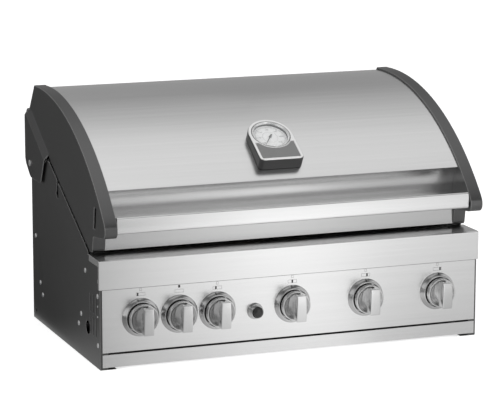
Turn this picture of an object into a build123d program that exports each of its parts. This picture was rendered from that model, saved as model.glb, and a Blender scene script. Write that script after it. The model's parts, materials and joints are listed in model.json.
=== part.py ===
from build123d import *
from math import atan2, cos, degrees, hypot, radians, sin, sqrt, tan
import os

# Built-in gas grill head with five main burners and one rear burner.
# Sizes are in millimetres. X runs to the right, Y to the back and Z up. Places are worked out from the
# front plane of the side panels and the underside of the feet, and the whole is centred when it is saved.

# Body
body_width = 800.0
body_depth = 466.0
sheet = 1.2
seam = 0.2
fit_gap = 0.3
overrun = 40.0
half_width = body_width / 2
inner_half = half_width - sheet

# Front ledge, control panel and tray front
ledge_top = 217.0
ledge_depth = 68.0
ledge_front = 3.2
ledge_face_bottom = 159.0
ledge_overlap = 2.4
ledge_bend = 3.0
ledge_return = 9.0
ledge_flange_length = 61.0
ledge_flange_height = 12.5
ledge_strip_width = 6.5
ledge_tab_size = 7.0
ledge_tab_drop = 42.0
ledge_hole_radius = 1.5
ledge_hole_y = 11.0
ledge_hole_drop = 7.4
panel_inset = 4.0
panel_front = 2.0
panel_bottom = 34.0
panel_overlap = 8.0
panel_return = 14.0
tray_front_bottom = 4.9
tray_front_top = 30.3

# Side panels
foot_flange = 33.0
front_flange = 16.0
diagonal_start = (74.0, 221.0)
diagonal_end_inset = 126.0
diagonal_end_z = 354.0
shoulder_inset = 91.0
shoulder_z = 347.0
hinge_inset = 12.0
hinge_z = 330.0
hinge_ear = 12.0
gas_hole_y = 79.7
gas_hole_z = 68.1
gas_hole_radius = 13.5
vent_width = 4.6
vent_height = 36.0
vent_pitch_y = 18.0
vent_pitch_z = 44.5
vent_first_y = 25.5
vent_first_z = 78.0
vent_columns = 3
vent_rows = 2
spit_slot_y = 277.0
spit_slot_width = 10.0
spit_slot_bottom = 288.5
spit_slot_notch = 6.0
service_hole_inset = 18.0
service_hole_z = 18.0
service_hole_radius = 4.5

# Screws in the side panels
screw_head_radius = 5.0
screw_head_height = 1.8
screw_shank_radius = 2.4
screw_shank_length = 8.0
rivet_radius = 2.0
edge_screw_y = 14.0
edge_screw_heights = (144.0, 46.6)
edge_rivet_heights = (123.8, 103.3)
top_screw_z = 179.0
slope_screw_heights = (85.5, 62.5)
screw_from_wall = 8.0

# Firebox
firebox_front = 85.0
firebox_back_inset = 17.0
firebox_side_inset = 24.8
firebox_shoulder_z = 150.0
firebox_slope_run = 66.0
firebox_slope_drop = 92.0
firebox_top = 214.6
firebox_flange = 16.0
wall_flange = 12.0
rear_wall_top = 344.0
grate_lip_z = 196.0
grate_lip_depth = 14.0
tamer_lip_z = 153.0
tamer_lip_depth = 12.0
side_wall_drop = 8.0
rear_panel_top = 350.0
rear_vent_length = 90.0
rear_vent_height = 6.0
rear_vent_pitch = 16.0
rear_vent_rows = 4
rear_vent_columns = 5
rear_vent_z = 120.0

# Burners, flame tamers and grates
burner_count = 5
burner_side_inset = 85.0
burner_row_x = -3.2
burner_z = 100.0
burner_radius = 13.0
burner_wall = 1.0
burner_mouth_y = 66.0
burner_end_inset = 57.0
burner_tab = 10.0
burner_port_radius = 1.6
burner_port_pitch = 14.0
burner_ports = 18
burner_shutter_length = 14.0
burner_shelf_depth = 18.0
tamer_width = 110.0
tamer_height = 26.0
grate_count = 3
grate_gap = 2.0
grate_height = 15.0
grate_bar = 7.0
grate_bars = 12
grate_cross_bars = 4
grate_cross_bar_drop = 3.0
rack_depth = 121.2
rack_wire_radius = 2.5
rack_wires = 9
rack_frame_radius = 3.5
rack_overlap = 12.0

# Rear burner
rear_burner_half = 190.0
rear_burner_bottom = 232.0
rear_burner_top = 326.0
rear_burner_depth = 38.0
rear_tile_depth = 13.0
rear_tile_recess = 4.0
rear_tile_hole_radius = 2.5
rear_tile_hole_pitch = 15.0
rear_tile_columns = 22
rear_tile_rows = 5
pipe_radius = 4.0
pipe_bend = 10.0
pipe_rise_z = 135.0
pipe_side_inset = 12.8
pipe_exit_x = 150.0
pipe_exit_z = 279.0

# Gas manifold and valves
manifold_y = 46.0
manifold_radius = 10.0
manifold_wall = 2.0
manifold_overhang = 24.0
manifold_boss_radius = 8.0
manifold_boss_height = 5.0
inlet_radius = 10.48
inlet_length = 26.0
inlet_recess = 9.0
inlet_shoulder = 3.8
valve_width = 22.0
valve_depth = 24.0
valve_height = 30.0
valve_neck_radius = 8.5
valve_neck_length = 14.0
valve_spud_radius = 5.0
valve_spud_length = 14.0

# Knobs, with their places along the panel counted in burner pitches from its middle
knob_z = 100.0
knob_place_shares = (-2.0, -1.5, -1.0, 0.0, 1.0, 2.0)
rear_knob = 1
bezel_radius = 38.0
bezel_lip_radius = 32.3
bezel_height = 12.5
bezel_wall = 1.7
bezel_hollow = 2.2
bezel_floor = 2.0
bezel_hole_radius = 9.0
knob_radius = 29.3
knob_back = 12.0
knob_travel = 3.0
knob_disc_front = 25.0
knob_dish_depth = 6.0
knob_dish_radius = 27.2
knob_edge = 1.5
knob_reach = 53.0
grip_width = 20.0
grip_height = 50.0
grip_drop = 0.6
grip_root_width = 25.0
grip_neck_share = 0.5
grip_bulge = 1.2
grip_edge = 2.2
grip_groove = 1.6
knob_hub_radius = 8.0
spindle_radius = 4.0
spindle_flat = 1.2
spindle_front = 36.0
running_gap = 0.05

# Igniter
igniter_share = -0.5
igniter_z = 92.0
igniter_bezel_radius = 16.5
igniter_lip_radius = 12.2
igniter_bezel_height = 16.0
igniter_step = 1.0
igniter_step_radius = 14.6
igniter_step_height = 8.0
igniter_button_radius = 10.3
igniter_reach = 21.0
igniter_dome = 3.0
igniter_stem_radius = 5.0
igniter_module_radius = 13.0
igniter_module_length = 48.0
igniter_button_depth = 6.0
electrode_radius = 3.5
electrode_tip_radius = 1.0
electrode_offset = 26.0
electrode_rise = 6.0
electrode_length = 42.0

# Drip tray and its runners
tray_inset = 22.0
tray_bottom = 6.0
tray_top = 24.6
tray_rim = 12.0
tray_back_inset = 36.0
tray_front_y = 10.0
runner_web_gap = 4.0

# Lid outline: one round sweep from the horns to the crown, then a bevel and a straight back
lid_top = 493.5
crown_y = 412.7
rim_radius = 573.9
rim_width = 26.0
rim_depth = 3.6
cap_inset = 2.5
cap_wall = 2.5
cap_gap_front = 1.3
cap_gap_rear = 2.5
lid_corner_inset = 20.0
bevel_end_overhang = 16.0
bevel_end_z = 441.0
lid_back_overhang = 24.0
lid_back_turn_z = 431.0
lid_back_bottom = 356.0
horn_arc_end_z = 295.0
nose = (-29.0, 284.0)
nose_bottom = (-29.5, 263.5)
nose_round = 15.0
horn_root = (47.5, 254.5)
leg_foot_y = 52.5
leg_round = 9.0
leg_bottom = 221.0
horn_rear_y = 78.0
horn_wall = 3.0
horn_slot_width = 13.0
horn_slot_height = 42.0
horn_slot_lean = 7.0
horn_slot_place = (31.5, 293.0)
lobe_gap = 3.5
joggle_start_inset = 121.0
joggle_start_z = 366.0
joggle_end_overhang = 14.0
joggle_end_z = 443.0
joggle_run = 14.0
joggle_bend = 5.0
lobe_overhang = 27.0
lobe_rear_top = 427.0
lobe_corner_z = 330.0
lobe_heel_inset = 11.0
lobe_toe_inset = 86.0
lobe_bottom = 300.5
lobe_round = 26.0
lobe_toe_round = 12.0
hinge_pin_radius = 5.0
hinge_head_radius = 6.8
hinge_head_height = 2.0
hinge_nut_radius = 9.0
hinge_nut_length = 6.0

# Lid sheets
skin = 1.0
skin_tuck = 11.5
crease_z = 345.0
trough_y = 55.0
trough_turn_z = 300.0
band_bottom = 224.0
band_return = 12.0
tuck = 8.0
liner_depth = 20.0
liner_side_inset = 9.5
liner_leg_gap = 7.0
liner_bottom = 227.0
liner_back_angle = -2.0

# Lid handle
handle_top = (-18.5, 302.5)
handle_bottom = (-22.0, 269.5)
handle_bulge = 1.6
handle_back_top = (0.0, 297.0)
handle_back_bottom = (-2.0, 272.0)
handle_round = 4.0
handle_wall = 1.5
handle_end_gap = 1.6
handle_boss_radius = 8.0
handle_boss_place = (-11.0, 285.0)

# Thermometer on the lid
gauge_x = -7.0
gauge_arc_angle = 31.3
gauge_tilt = 29.9
gauge_rise = 18.4
gauge_half = 45.6
gauge_drop = 77.0
gauge_corner = 9.0
gauge_housing_margin = 0.8
gauge_housing_depth = 32.0
gauge_plate_thickness = 2.0
gauge_ring_radius = 39.1
gauge_ring_wall = 2.6
gauge_pocket_depth = 13.0
gauge_lens_depth = 1.2
gauge_lens_thickness = 1.5
gauge_dial_depth = 8.0
gauge_dial_thickness = 1.0
gauge_dial_seat = 1.2
gauge_field_top = 24.0
gauge_field_margin = 4.6
gauge_field_depth = 0.6
gauge_stem_radius = 4.0
gauge_stem_length = 75.0
needle_length = 31.0
needle_tail = 9.0
needle_width = 2.2
needle_tail_width = 3.6
needle_thickness = 0.5
needle_hub_radius = 3.0
needle_lift = 1.2
needle_angle = 234.5
needle_pivot_radius = 1.0
needle_pivot_height = 3.2

# Places that follow from the sizes
ledge_half = half_width + ledge_overlap
panel_half = half_width - panel_inset
firebox_rear = body_depth - firebox_back_inset
firebox_half = inner_half - firebox_side_inset
burner_end_y = firebox_rear - burner_end_inset
rack_half = firebox_half + rack_overlap
pipe_side_x = inner_half - pipe_side_inset
inlet_elbow_x = inner_half - inlet_recess - inlet_length - inlet_shoulder - manifold_radius
tray_half = firebox_half - tray_inset
tray_back_y = body_depth - tray_back_inset
hinge_y = body_depth - hinge_inset
service_hole_y = body_depth - service_hole_inset
diagonal_end = (body_depth - diagonal_end_inset, diagonal_end_z)
shoulder = (body_depth - shoulder_inset, shoulder_z)
cap_half = half_width - cap_inset
skin_half = cap_half - skin_tuck
liner_half = cap_half - rim_width - liner_side_inset
lobe_reach = half_width + lobe_gap + cap_wall
lid_corner_y = body_depth - lid_corner_inset
bevel_end = (body_depth + bevel_end_overhang, bevel_end_z)
lid_back_y = body_depth + lid_back_overhang
joggle_start = (body_depth - joggle_start_inset, joggle_start_z)
joggle_end = (body_depth + joggle_end_overhang, joggle_end_z)
lobe_rear_y = body_depth + lobe_overhang
arc_z = lid_top - rim_radius
skin_radius = rim_radius - rim_depth - seam
front_y = (knob_reach + panel_front - lobe_rear_y) / 2
burner_pitch = 2 * (half_width - burner_side_inset) / (burner_count - 1)
knob_xs = [burner_row_x + share * burner_pitch for share in knob_place_shares]
burner_xs = [burner_row_x + (i - (burner_count - 1) / 2) * burner_pitch for i in range(burner_count)]
igniter_x = burner_row_x + igniter_share * burner_pitch
slope = firebox_slope_run / firebox_slope_drop
slope_bottom_z = firebox_shoulder_z - firebox_slope_drop
lean = hypot(1, slope)


def block(x0, x1, y0, y1, z0, z1):
    """A rectangular solid between two corners."""
    return Pos((x0 + x1) / 2, (y0 + y1) / 2, (z0 + z1) / 2) * Box(x1 - x0, y1 - y0, z1 - z0)


def rod(start, direction, radius, length):
    """A round bar that starts at a point and runs in a direction."""
    base = Plane(origin=start, z_dir=direction)
    return base * Cylinder(radius, length, align=(Align.CENTER, Align.CENTER, Align.MIN))


def outline(corners, radii=None):
    """A closed flat face through corners, each with its own rounding."""
    radii = radii or [0] * len(corners)
    edges = []
    ends = []
    for i, corner in enumerate(corners):
        here = Vector(*corner)
        before = Vector(*corners[i - 1]) - here
        after = Vector(*corners[(i + 1) % len(corners)]) - here
        if radii[i] == 0:
            ends.append((here, here))
            continue
        half = radians(before.get_angle(after)) / 2
        reach = radii[i] / tan(half)
        first = here + before.normalized() * reach
        last = here + after.normalized() * reach
        inward = (before.normalized() + after.normalized()).normalized()
        middle = here + inward * (radii[i] / sin(half) - radii[i])
        ends.append((first, last))
        edges.append(ThreePointArc(first, middle, last))
    for i, (first, last) in enumerate(ends):
        following = ends[(i + 1) % len(ends)][0]
        if (following - last).length > running_gap:
            edges.append(Line(last, following))
    return make_face(edges)


def across(face, x0, x1):
    """A face drawn in Y and Z, made solid from x0 to x1."""
    return extrude(Plane.YZ.offset(min(x0, x1)) * face, amount=abs(x1 - x0))


def both_sides(shape):
    """A shape and its mirror image on the other side of the body."""
    return [shape, mirror(shape, about=Plane.YZ)]


def group(shapes):
    """Separate solids that share one name."""
    return Compound([solid for shape in shapes for solid in shape.solids()])


def ring(outer, inner, length, start, direction):
    """A straight tube."""
    return rod(start, direction, outer, length) - rod(start, direction, inner, length)


def slope_y(z):
    """How far the sloped foot of a firebox wall has moved inwards at a height."""
    return (firebox_shoulder_z - z) * slope


def arc_disc(radius):
    """The disc whose edge is the sweep of the lid, in Y and Z."""
    return Pos(crown_y, arc_z) * Circle(radius)


def arc_place(radius, angle):
    """A place on the sweep of the lid, the angle counted forwards from the crown."""
    return (crown_y - radius * sin(radians(angle)), arc_z + radius * cos(radians(angle)))


def diagonal_z(y):
    """The height of the side panel's slanted top edge."""
    (y0, z0), (y1, z1) = diagonal_start, diagonal_end
    return z0 + (y - y0) * (z1 - z0) / (y1 - y0)


def side_screw_places():
    """Where the screw heads sit on a side panel, as Y and Z."""
    middle = (firebox_front + firebox_rear) / 2
    front = [(firebox_front + screw_from_wall, top_screw_z)]
    for z in slope_screw_heights:
        front.append((firebox_front + slope_y(z) - screw_from_wall, z))
    return front + [(2 * middle - y, z) for y, z in front] + [(edge_screw_y, z) for z in edge_screw_heights]


def side_panel():
    """The left side panel with its foot, its front flange and its openings."""
    top_front = ledge_top - sheet - seam
    corners = [(0, 0), (body_depth, 0), (body_depth, hinge_z + hinge_ear), (hinge_y, hinge_z + hinge_ear),
               shoulder, diagonal_end, diagonal_start, (diagonal_start[0], top_front), (0, top_front)]
    radii = [0, 0, body_depth - hinge_y - seam, 0, 0, 0, 0, 0, 0]
    panel = across(outline(corners, radii), -half_width, -inner_half)
    panel += block(-half_width, -half_width + foot_flange, 0, body_depth, 0, sheet)
    panel += block(-half_width, -half_width + front_flange, 0, sheet, 0, top_front)
    cuts = [(gas_hole_y, gas_hole_z, gas_hole_radius), (service_hole_y, service_hole_z, service_hole_radius),
            (hinge_y, hinge_z, hinge_pin_radius + running_gap)]
    cuts += [(y, z, screw_shank_radius + running_gap) for y, z in side_screw_places()]
    cuts += [(edge_screw_y, z, rivet_radius / 2 + running_gap) for z in edge_rivet_heights]
    for y, z, radius in cuts:
        panel -= rod((-half_width - sheet, y, z), (1, 0, 0), radius, 3 * sheet)
    for column in range(vent_columns):
        for row in range(vent_rows):
            y = vent_first_y + column * vent_pitch_y
            z = vent_first_z + row * vent_pitch_z
            panel -= block(-half_width - sheet, -inner_half + sheet, y - vent_width / 2, y + vent_width / 2,
                           z - vent_height / 2, z + vent_height / 2)
    slot_sides = (spit_slot_y - spit_slot_width / 2, spit_slot_y + spit_slot_width / 2)
    panel -= block(-half_width - sheet, -inner_half + sheet, *slot_sides, spit_slot_bottom, lid_top)
    notch_z = spit_slot_bottom + spit_slot_notch
    panel -= block(-half_width - sheet, -inner_half + sheet, slot_sides[1] - seam,
                   slot_sides[1] + spit_slot_notch, notch_z, notch_z + spit_slot_notch)
    return panel


def side_screws():
    """The heads and shanks of every screw and rivet in both side panels."""
    shapes = []
    for y, z in side_screw_places():
        head = rod((-half_width, y, z), (-1, 0, 0), screw_head_radius, screw_head_height)
        head = fillet(head.edges().group_by(Axis.X)[0], screw_head_height / 2)
        shapes += both_sides(head + rod((-half_width, y, z), (1, 0, 0), screw_shank_radius, screw_shank_length))
    for z in edge_rivet_heights:
        rivet = rod((-half_width, edge_screw_y, z), (-1, 0, 0), rivet_radius, screw_head_height / 2)
        rivet += rod((-half_width, edge_screw_y, z), (1, 0, 0), rivet_radius / 2, 2 * sheet)
        shapes += both_sides(rivet)
    return group(shapes)


def rear_panel():
    """The back sheet, with rows of vents, turned forwards at its foot."""
    panel = block(-inner_half + seam, inner_half - seam, body_depth - sheet, body_depth, sheet + seam,
                  rear_panel_top)
    foot = inner_half - foot_flange
    panel += block(-foot, foot, body_depth - panel_return, body_depth, sheet + seam, 2 * sheet + seam)
    column_pitch = 2 * inner_half / (rear_vent_columns + 1)
    for row in range(rear_vent_rows):
        for column in range(rear_vent_columns):
            x = (column - (rear_vent_columns - 1) / 2) * column_pitch
            z = rear_vent_z + row * rear_vent_pitch
            slot = Pos(x, z) * SlotOverall(rear_vent_length, rear_vent_height)
            panel -= extrude(Plane.XZ.offset(-body_depth + 2 * sheet) * slot, amount=-3 * sheet)
    return panel


def front_ledge():
    """The ledge in front of the lid: its top, its face and the side flanges over the side panels."""
    front = -ledge_front
    section = outline([(front, ledge_face_bottom), (front + sheet, ledge_face_bottom),
                       (front + sheet, ledge_top - sheet), (ledge_depth, ledge_top - sheet),
                       (ledge_depth, ledge_top), (front, ledge_top)],
                      [0, 0, ledge_bend - sheet, 0, 0, ledge_bend])
    shape = across(section, -ledge_half, ledge_half)
    inside = panel_half - front_flange
    shape += block(-inside, inside, ledge_depth - sheet, ledge_depth, ledge_top - ledge_return, ledge_top)
    flange = block(-ledge_half, -ledge_half + sheet, front, ledge_flange_length,
                   ledge_top - ledge_flange_height, ledge_top)
    flange += block(-ledge_half, -ledge_half + sheet, front, front + ledge_strip_width,
                    ledge_face_bottom, ledge_top)
    tab_z = ledge_top - ledge_tab_drop
    flange += block(-ledge_half, -ledge_half + sheet, front, front + ledge_strip_width + ledge_tab_size / 2,
                    tab_z - ledge_tab_size / 2, tab_z + ledge_tab_size / 2)
    flange -= rod((-ledge_half - sheet, ledge_hole_y, ledge_top - ledge_hole_drop), (1, 0, 0),
                  ledge_hole_radius, 3 * sheet)
    flange &= across(outline([(front, 0), (ledge_flange_length, 0), (ledge_flange_length, ledge_top),
                              (front, ledge_top)], [0, 0, 0, ledge_bend]), -ledge_half, 0)
    return shape + both_sides(flange)


def control_panel():
    """The flat panel that carries the knobs, turned inwards along its top and bottom."""
    front, back = -panel_front, -panel_front + sheet
    panel = block(-panel_half, panel_half, front, back, panel_bottom, ledge_face_bottom - seam)
    inside = panel_half - front_flange
    panel += block(-inside, inside, front, front + panel_return, panel_bottom, panel_bottom + sheet)
    panel += block(-inside, inside, back - seam, back + sheet, ledge_face_bottom - panel_overlap,
                   ledge_top - sheet - seam)
    for x in knob_xs:
        panel -= rod((x, -overrun, knob_z), (0, 1, 0), bezel_hole_radius, 2 * overrun)
    panel -= rod((igniter_x, -overrun, igniter_z), (0, 1, 0), igniter_stem_radius + fit_gap, 2 * overrun)
    return panel


def firebox_wall_section(top_z):
    """The front wall of the firebox in Y and Z: upright, then sloping inwards at its foot."""
    y = firebox_front
    foot = y + slope_y(slope_bottom_z)
    thick = sheet * lean
    return outline([(y, top_z), (y - sheet, top_z), (y - sheet, firebox_shoulder_z),
                    (foot - thick, slope_bottom_z), (foot, slope_bottom_z),
                    (y, firebox_shoulder_z + (thick - sheet) / slope)])


def wall_ends(shape, top_z):
    """Adds the flange at each end of a front wall, where the side screws hold it."""
    foot_y = firebox_front + slope_y(slope_bottom_z)
    reach = 2 * wall_flange
    face = outline([(firebox_front, top_z), (firebox_front - sheet, top_z),
                    (firebox_front - sheet, firebox_shoulder_z), (foot_y - reach, slope_bottom_z),
                    (foot_y, slope_bottom_z), (firebox_front + reach, firebox_shoulder_z),
                    (firebox_front + reach, top_z)])
    end = across(face, -inner_half + seam, -inner_half + seam + sheet)
    for y, z in side_screw_places():
        end -= rod((-half_width, y, z), (1, 0, 0), screw_shank_radius + running_gap, overrun)
    return shape + both_sides(end)


def lips(y_face, into):
    """Two narrow shelves on a wall's inner face: one for the grates and one for the flame tamers."""
    inside = firebox_half - fit_gap
    shelves = []
    for z, depth in ((grate_lip_z, grate_lip_depth), (tamer_lip_z, tamer_lip_depth)):
        y0, y1 = sorted((y_face, y_face + into * depth))
        shelves.append(block(-inside, inside, y0, y1, z - sheet, z))
    return shelves


def firebox_front_wall():
    """The front wall, pierced by the burners, the spark electrodes and the rear burner's pipe."""
    end = inner_half - seam
    wall = across(firebox_wall_section(firebox_top), -end, end)
    wall += block(-end + overrun, end - overrun, firebox_front - firebox_flange, firebox_front,
                  firebox_top - sheet, firebox_top)
    wall += lips(firebox_front - seam, 1)
    wall = wall_ends(wall, firebox_top)
    for x in burner_xs:
        wall -= rod((x, 0, burner_z), (0, 1, 0), burner_radius + fit_gap, body_depth / 2)
        wall -= rod((x + electrode_offset, 0, burner_z + electrode_rise), (0, 1, 0),
                    electrode_radius + fit_gap, body_depth / 2)
    wall -= rod((-pipe_side_x, 0, pipe_rise_z), (0, 1, 0), pipe_radius + fit_gap, body_depth / 2)
    return wall


def firebox_rear_wall():
    """The rear wall, taller than the front one, with the shelf that the burner ends rest on."""
    end = inner_half - seam
    middle = Plane.XZ.offset(-(firebox_front + firebox_rear) / 2)
    wall = across(firebox_wall_section(rear_wall_top), -end, end)
    wall = mirror(wall_ends(wall, rear_wall_top - side_wall_drop), about=middle)
    wall += lips(firebox_rear + seam, -1)
    shelf_z = burner_z - burner_radius - fit_gap
    shelf_back = firebox_rear - slope_y(shelf_z)
    wall += block(-firebox_half + fit_gap, firebox_half - fit_gap, burner_end_y - burner_shelf_depth,
                  shelf_back + sheet / 2, shelf_z - sheet, shelf_z)
    wall -= rod((-pipe_side_x, body_depth / 2, pipe_rise_z), (0, 1, 0), pipe_radius + fit_gap, body_depth)
    wall -= rod((-pipe_exit_x, body_depth / 2, pipe_exit_z), (0, 1, 0), pipe_radius + fit_gap, body_depth)
    for room in both_sides(rod((-half_width, hinge_y, hinge_z), (1, 0, 0), hinge_nut_radius + sheet,
                               2 * hinge_nut_length)):
        wall -= room
    return wall


def firebox_side_walls():
    """The inner side walls, with an outward flange that follows the side panel's slanted top."""
    front, back = firebox_front + fit_gap, firebox_rear - fit_gap
    drop = side_wall_drop
    level = rear_wall_top - drop
    turn_y = diagonal_start[0] + (level + drop - diagonal_start[1]) * (
        (diagonal_end[0] - diagonal_start[0]) / (diagonal_end[1] - diagonal_start[1]))
    start_z = diagonal_z(front) - drop
    foot = slope_bottom_z
    top = [(front, start_z), (turn_y, level), (back, level)]
    side = outline([(front, firebox_shoulder_z), (firebox_front + slope_y(foot) + fit_gap, foot),
                    (firebox_rear - slope_y(foot) - fit_gap, foot), (back, firebox_shoulder_z)] + top[::-1])
    wall = across(side, -firebox_half - sheet, -firebox_half)
    reach = firebox_front + 2 * wall_flange + fit_gap
    flange_front = [(reach, diagonal_z(reach) - drop), (turn_y, level),
                    (firebox_rear - 2 * wall_flange - fit_gap, level)]
    strip = outline(flange_front + [(y, z - sheet) for y, z in flange_front[::-1]])
    wall += across(strip, -inner_half + seam, -firebox_half)
    return group(both_sides(wall))


def main_burner(x):
    """One tube burner: the mixing mouth with its air shutter, the ported tube and the tab at its end."""
    length = burner_end_y - burner_mouth_y
    tube = rod((x, burner_mouth_y, burner_z), (0, 1, 0), burner_radius, length)
    tube -= rod((x, burner_mouth_y, burner_z), (0, 1, 0), burner_radius - burner_wall, length - burner_wall)
    tab = block(x - burner_radius / 2, x + burner_radius / 2, burner_end_y, burner_end_y + burner_tab,
                burner_z - burner_radius, burner_z - burner_radius + 2 * burner_wall)
    tube += tab
    first = (firebox_front + slope_y(burner_z) + burner_end_y - (burner_ports - 1) * burner_port_pitch) / 2
    for i in range(burner_ports):
        y = first + i * burner_port_pitch
        tube -= rod((x - burner_radius - sheet, y, burner_z + burner_radius / 3), (1, 0, 0),
                    burner_port_radius, 2 * (burner_radius + sheet))
    shutter_y = burner_mouth_y + burner_shutter_length / 2
    tube -= rod((x, shutter_y, burner_z), (0, 0, -1), burner_radius / 3, overrun)
    return tube


def flame_tamers():
    """Five roof-shaped sheets that stand on the lower lips above the burners."""
    half = tamer_width / 2
    rise = tamer_height
    thick = sheet * hypot(half, rise) / half
    low = tamer_lip_z
    shapes = []
    for x in burner_xs:
        roof = make_face(Polyline((x - half, low), (x, low + rise), (x + half, low), (x + half, low + thick),
                                  (x, low + rise + thick), (x - half, low + thick), close=True))
        length = firebox_rear - firebox_front - 2 * fit_gap
        shapes.append(extrude(Plane.XZ.offset(-firebox_front - fit_gap) * roof, amount=-length))
    return group(shapes)


def cooking_grate(index):
    """One cast grate: bars from front to back over cross bars, standing on the upper lips."""
    width = (2 * firebox_half - (grate_count + 1) * grate_gap) / grate_count
    x0 = -firebox_half + grate_gap + index * (width + grate_gap)
    front, back = firebox_front + grate_gap, firebox_rear - grate_gap
    bottom, top = grate_lip_z, grate_lip_z + grate_height
    grate = Part()
    for i in range(grate_bars):
        x = x0 + grate_bar / 2 + i * (width - grate_bar) / (grate_bars - 1)
        bar = block(x - grate_bar / 2, x + grate_bar / 2, front, back, bottom, top)
        grate += chamfer(bar.edges().filter_by(Axis.Y).group_by(Axis.Z)[-1], grate_bar / 4)
    for i in range(grate_cross_bars):
        y = front + grate_bar / 2 + i * (back - front - grate_bar) / (grate_cross_bars - 1)
        grate += block(x0 + grate_bar / 4, x0 + width - grate_bar / 4, y - grate_bar / 2, y + grate_bar / 2,
                       bottom, top - grate_cross_bar_drop)
    return grate


def warming_rack():
    """A wire shelf whose frame lies on the level part of the firebox side flanges."""
    z = rear_wall_top - side_wall_drop + rack_frame_radius + seam
    back = firebox_rear - 2 * wall_flange - rack_frame_radius
    front = back - rack_depth
    rack = Part()
    for y in (front, back):
        rack += rod((-rack_half, y, z), (1, 0, 0), rack_frame_radius, 2 * rack_half)
    for x in (-rack_half, rack_half):
        rack += rod((x, front, z), (0, 1, 0), rack_frame_radius, rack_depth)
        for y in (front, back):
            rack += Pos(x, y, z) * Sphere(rack_frame_radius)
    for i in range(1, rack_wires):
        y = front + i * rack_depth / rack_wires
        rack += rod((-rack_half, y, z), (1, 0, 0), rack_wire_radius, 2 * rack_half)
    return rack


def rear_burner_housing():
    """The open-fronted box of the rear burner, against the rear wall."""
    half, low, high = rear_burner_half, rear_burner_bottom, rear_burner_top
    back = firebox_rear - seam
    front = back - rear_burner_depth
    box = block(-half, half, front, back, low, high)
    box -= block(-half + sheet, half - sheet, front - sheet, back - sheet, low + sheet, high - sheet)
    box -= rod((-pipe_exit_x, front, pipe_exit_z), (0, 1, 0), pipe_radius + fit_gap, 2 * rear_burner_depth)
    return box


def rear_burner_tile():
    """The perforated ceramic block in the mouth of the rear burner."""
    gap = fit_gap + sheet
    front = firebox_rear - seam - rear_burner_depth + rear_tile_recess
    low, high = rear_burner_bottom + gap, rear_burner_top - gap
    tile = block(-rear_burner_half + gap, rear_burner_half - gap, front, front + rear_tile_depth, low, high)
    holes = GridLocations(rear_tile_hole_pitch, rear_tile_hole_pitch, rear_tile_columns, rear_tile_rows)
    face = Pos(0, (low + high) / 2) * (Sketch() + holes * Circle(rear_tile_hole_radius))
    return tile - extrude(Plane.XZ.offset(-front) * face, amount=-rear_tile_depth / 2)


def rear_burner_pipe():
    """The thin pipe from the second valve round the side of the firebox to the rear burner."""
    x = knob_xs[rear_knob]
    start_y = manifold_y + valve_depth / 2
    rise_y = start_y + pipe_bend + sheet
    behind_y = (firebox_rear + body_depth) / 2
    inside_y = firebox_rear - seam - 2 * pipe_radius
    points = [(x, start_y, burner_z), (x, rise_y, burner_z), (x, rise_y, pipe_rise_z),
              (-pipe_side_x, rise_y, pipe_rise_z), (-pipe_side_x, behind_y, pipe_rise_z),
              (-pipe_side_x, behind_y, pipe_exit_z), (-pipe_exit_x - 2 * pipe_bend, behind_y, pipe_exit_z)]
    path = FilletPolyline(*points, radius=pipe_bend)
    pipe = sweep(Plane(origin=path @ 0, z_dir=path % 0) * Circle(pipe_radius), path=path)
    last = points[-1]
    pipe += rod(last, (1, 0, 0), pipe_radius, 2 * pipe_bend)
    corner = (-pipe_exit_x, behind_y, pipe_exit_z)
    pipe += Pos(*corner) * Sphere(pipe_radius)
    return pipe + rod(corner, (0, -1, 0), pipe_radius, behind_y - inside_y)


def gas_manifold():
    """The gas rail: a tube with a boss under each valve and an elbow to the inlet in the left side."""
    right = knob_xs[-1] + manifold_overhang
    z = gas_hole_z
    rail = rod((-inlet_elbow_x, manifold_y, z), (1, 0, 0), manifold_radius, right + inlet_elbow_x)
    rail += Pos(-inlet_elbow_x, manifold_y, z) * Sphere(manifold_radius)
    rail += rod((-inlet_elbow_x, manifold_y, z), (0, 1, 0), manifold_radius, gas_hole_y - manifold_y)
    rail += Pos(-inlet_elbow_x, gas_hole_y, z) * Sphere(manifold_radius)
    rail += rod((-inlet_elbow_x, gas_hole_y, z), (-1, 0, 0), manifold_radius,
                inner_half - inlet_recess - inlet_length / 2 - inlet_elbow_x)
    tip = -inner_half + inlet_recess
    rail += rod((tip, gas_hole_y, z), (1, 0, 0), inlet_radius, inlet_length)
    for x in knob_xs:
        rail += rod((x, manifold_y, z), (0, 0, 1), manifold_boss_radius, manifold_radius + manifold_boss_height)
    bore = manifold_radius - manifold_wall
    rail -= rod((-inlet_elbow_x, manifold_y, z), (1, 0, 0), bore, right + inlet_elbow_x - manifold_wall)
    rail -= rod((-inlet_elbow_x, manifold_y, z), (0, 1, 0), bore, gas_hole_y - manifold_y)
    rail -= Pos(-inlet_elbow_x, gas_hole_y, z) * Sphere(bore)
    rail -= Pos(-inlet_elbow_x, manifold_y, z) * Sphere(bore)
    return rail - rod((tip - sheet, gas_hole_y, z), (1, 0, 0), bore, inlet_length + overrun)


def valve_seat_z():
    """The height of the flat boss tops that the valves stand on."""
    return gas_hole_z + manifold_radius + manifold_boss_height


def gas_valve(x):
    """One gas valve: its body and neck, and the spud into the burner unless the pipe leads away from it."""
    low = valve_seat_z()
    front, back = manifold_y - valve_depth / 2, manifold_y + valve_depth / 2
    valve = block(x - valve_width / 2, x + valve_width / 2, front, back, low, low + valve_height)
    valve = chamfer(valve.edges().filter_by(Axis.Y), sheet)
    valve += rod((x, front, knob_z), (0, -1, 0), valve_neck_radius, valve_neck_length)
    if x in burner_xs:
        valve += rod((x, back, burner_z), (0, 1, 0), valve_spud_radius, valve_spud_length)
    bore = valve_neck_length + valve_depth / 2
    return valve - rod((x, front - valve_neck_length, knob_z), (0, 1, 0), spindle_radius + running_gap, bore)


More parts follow.
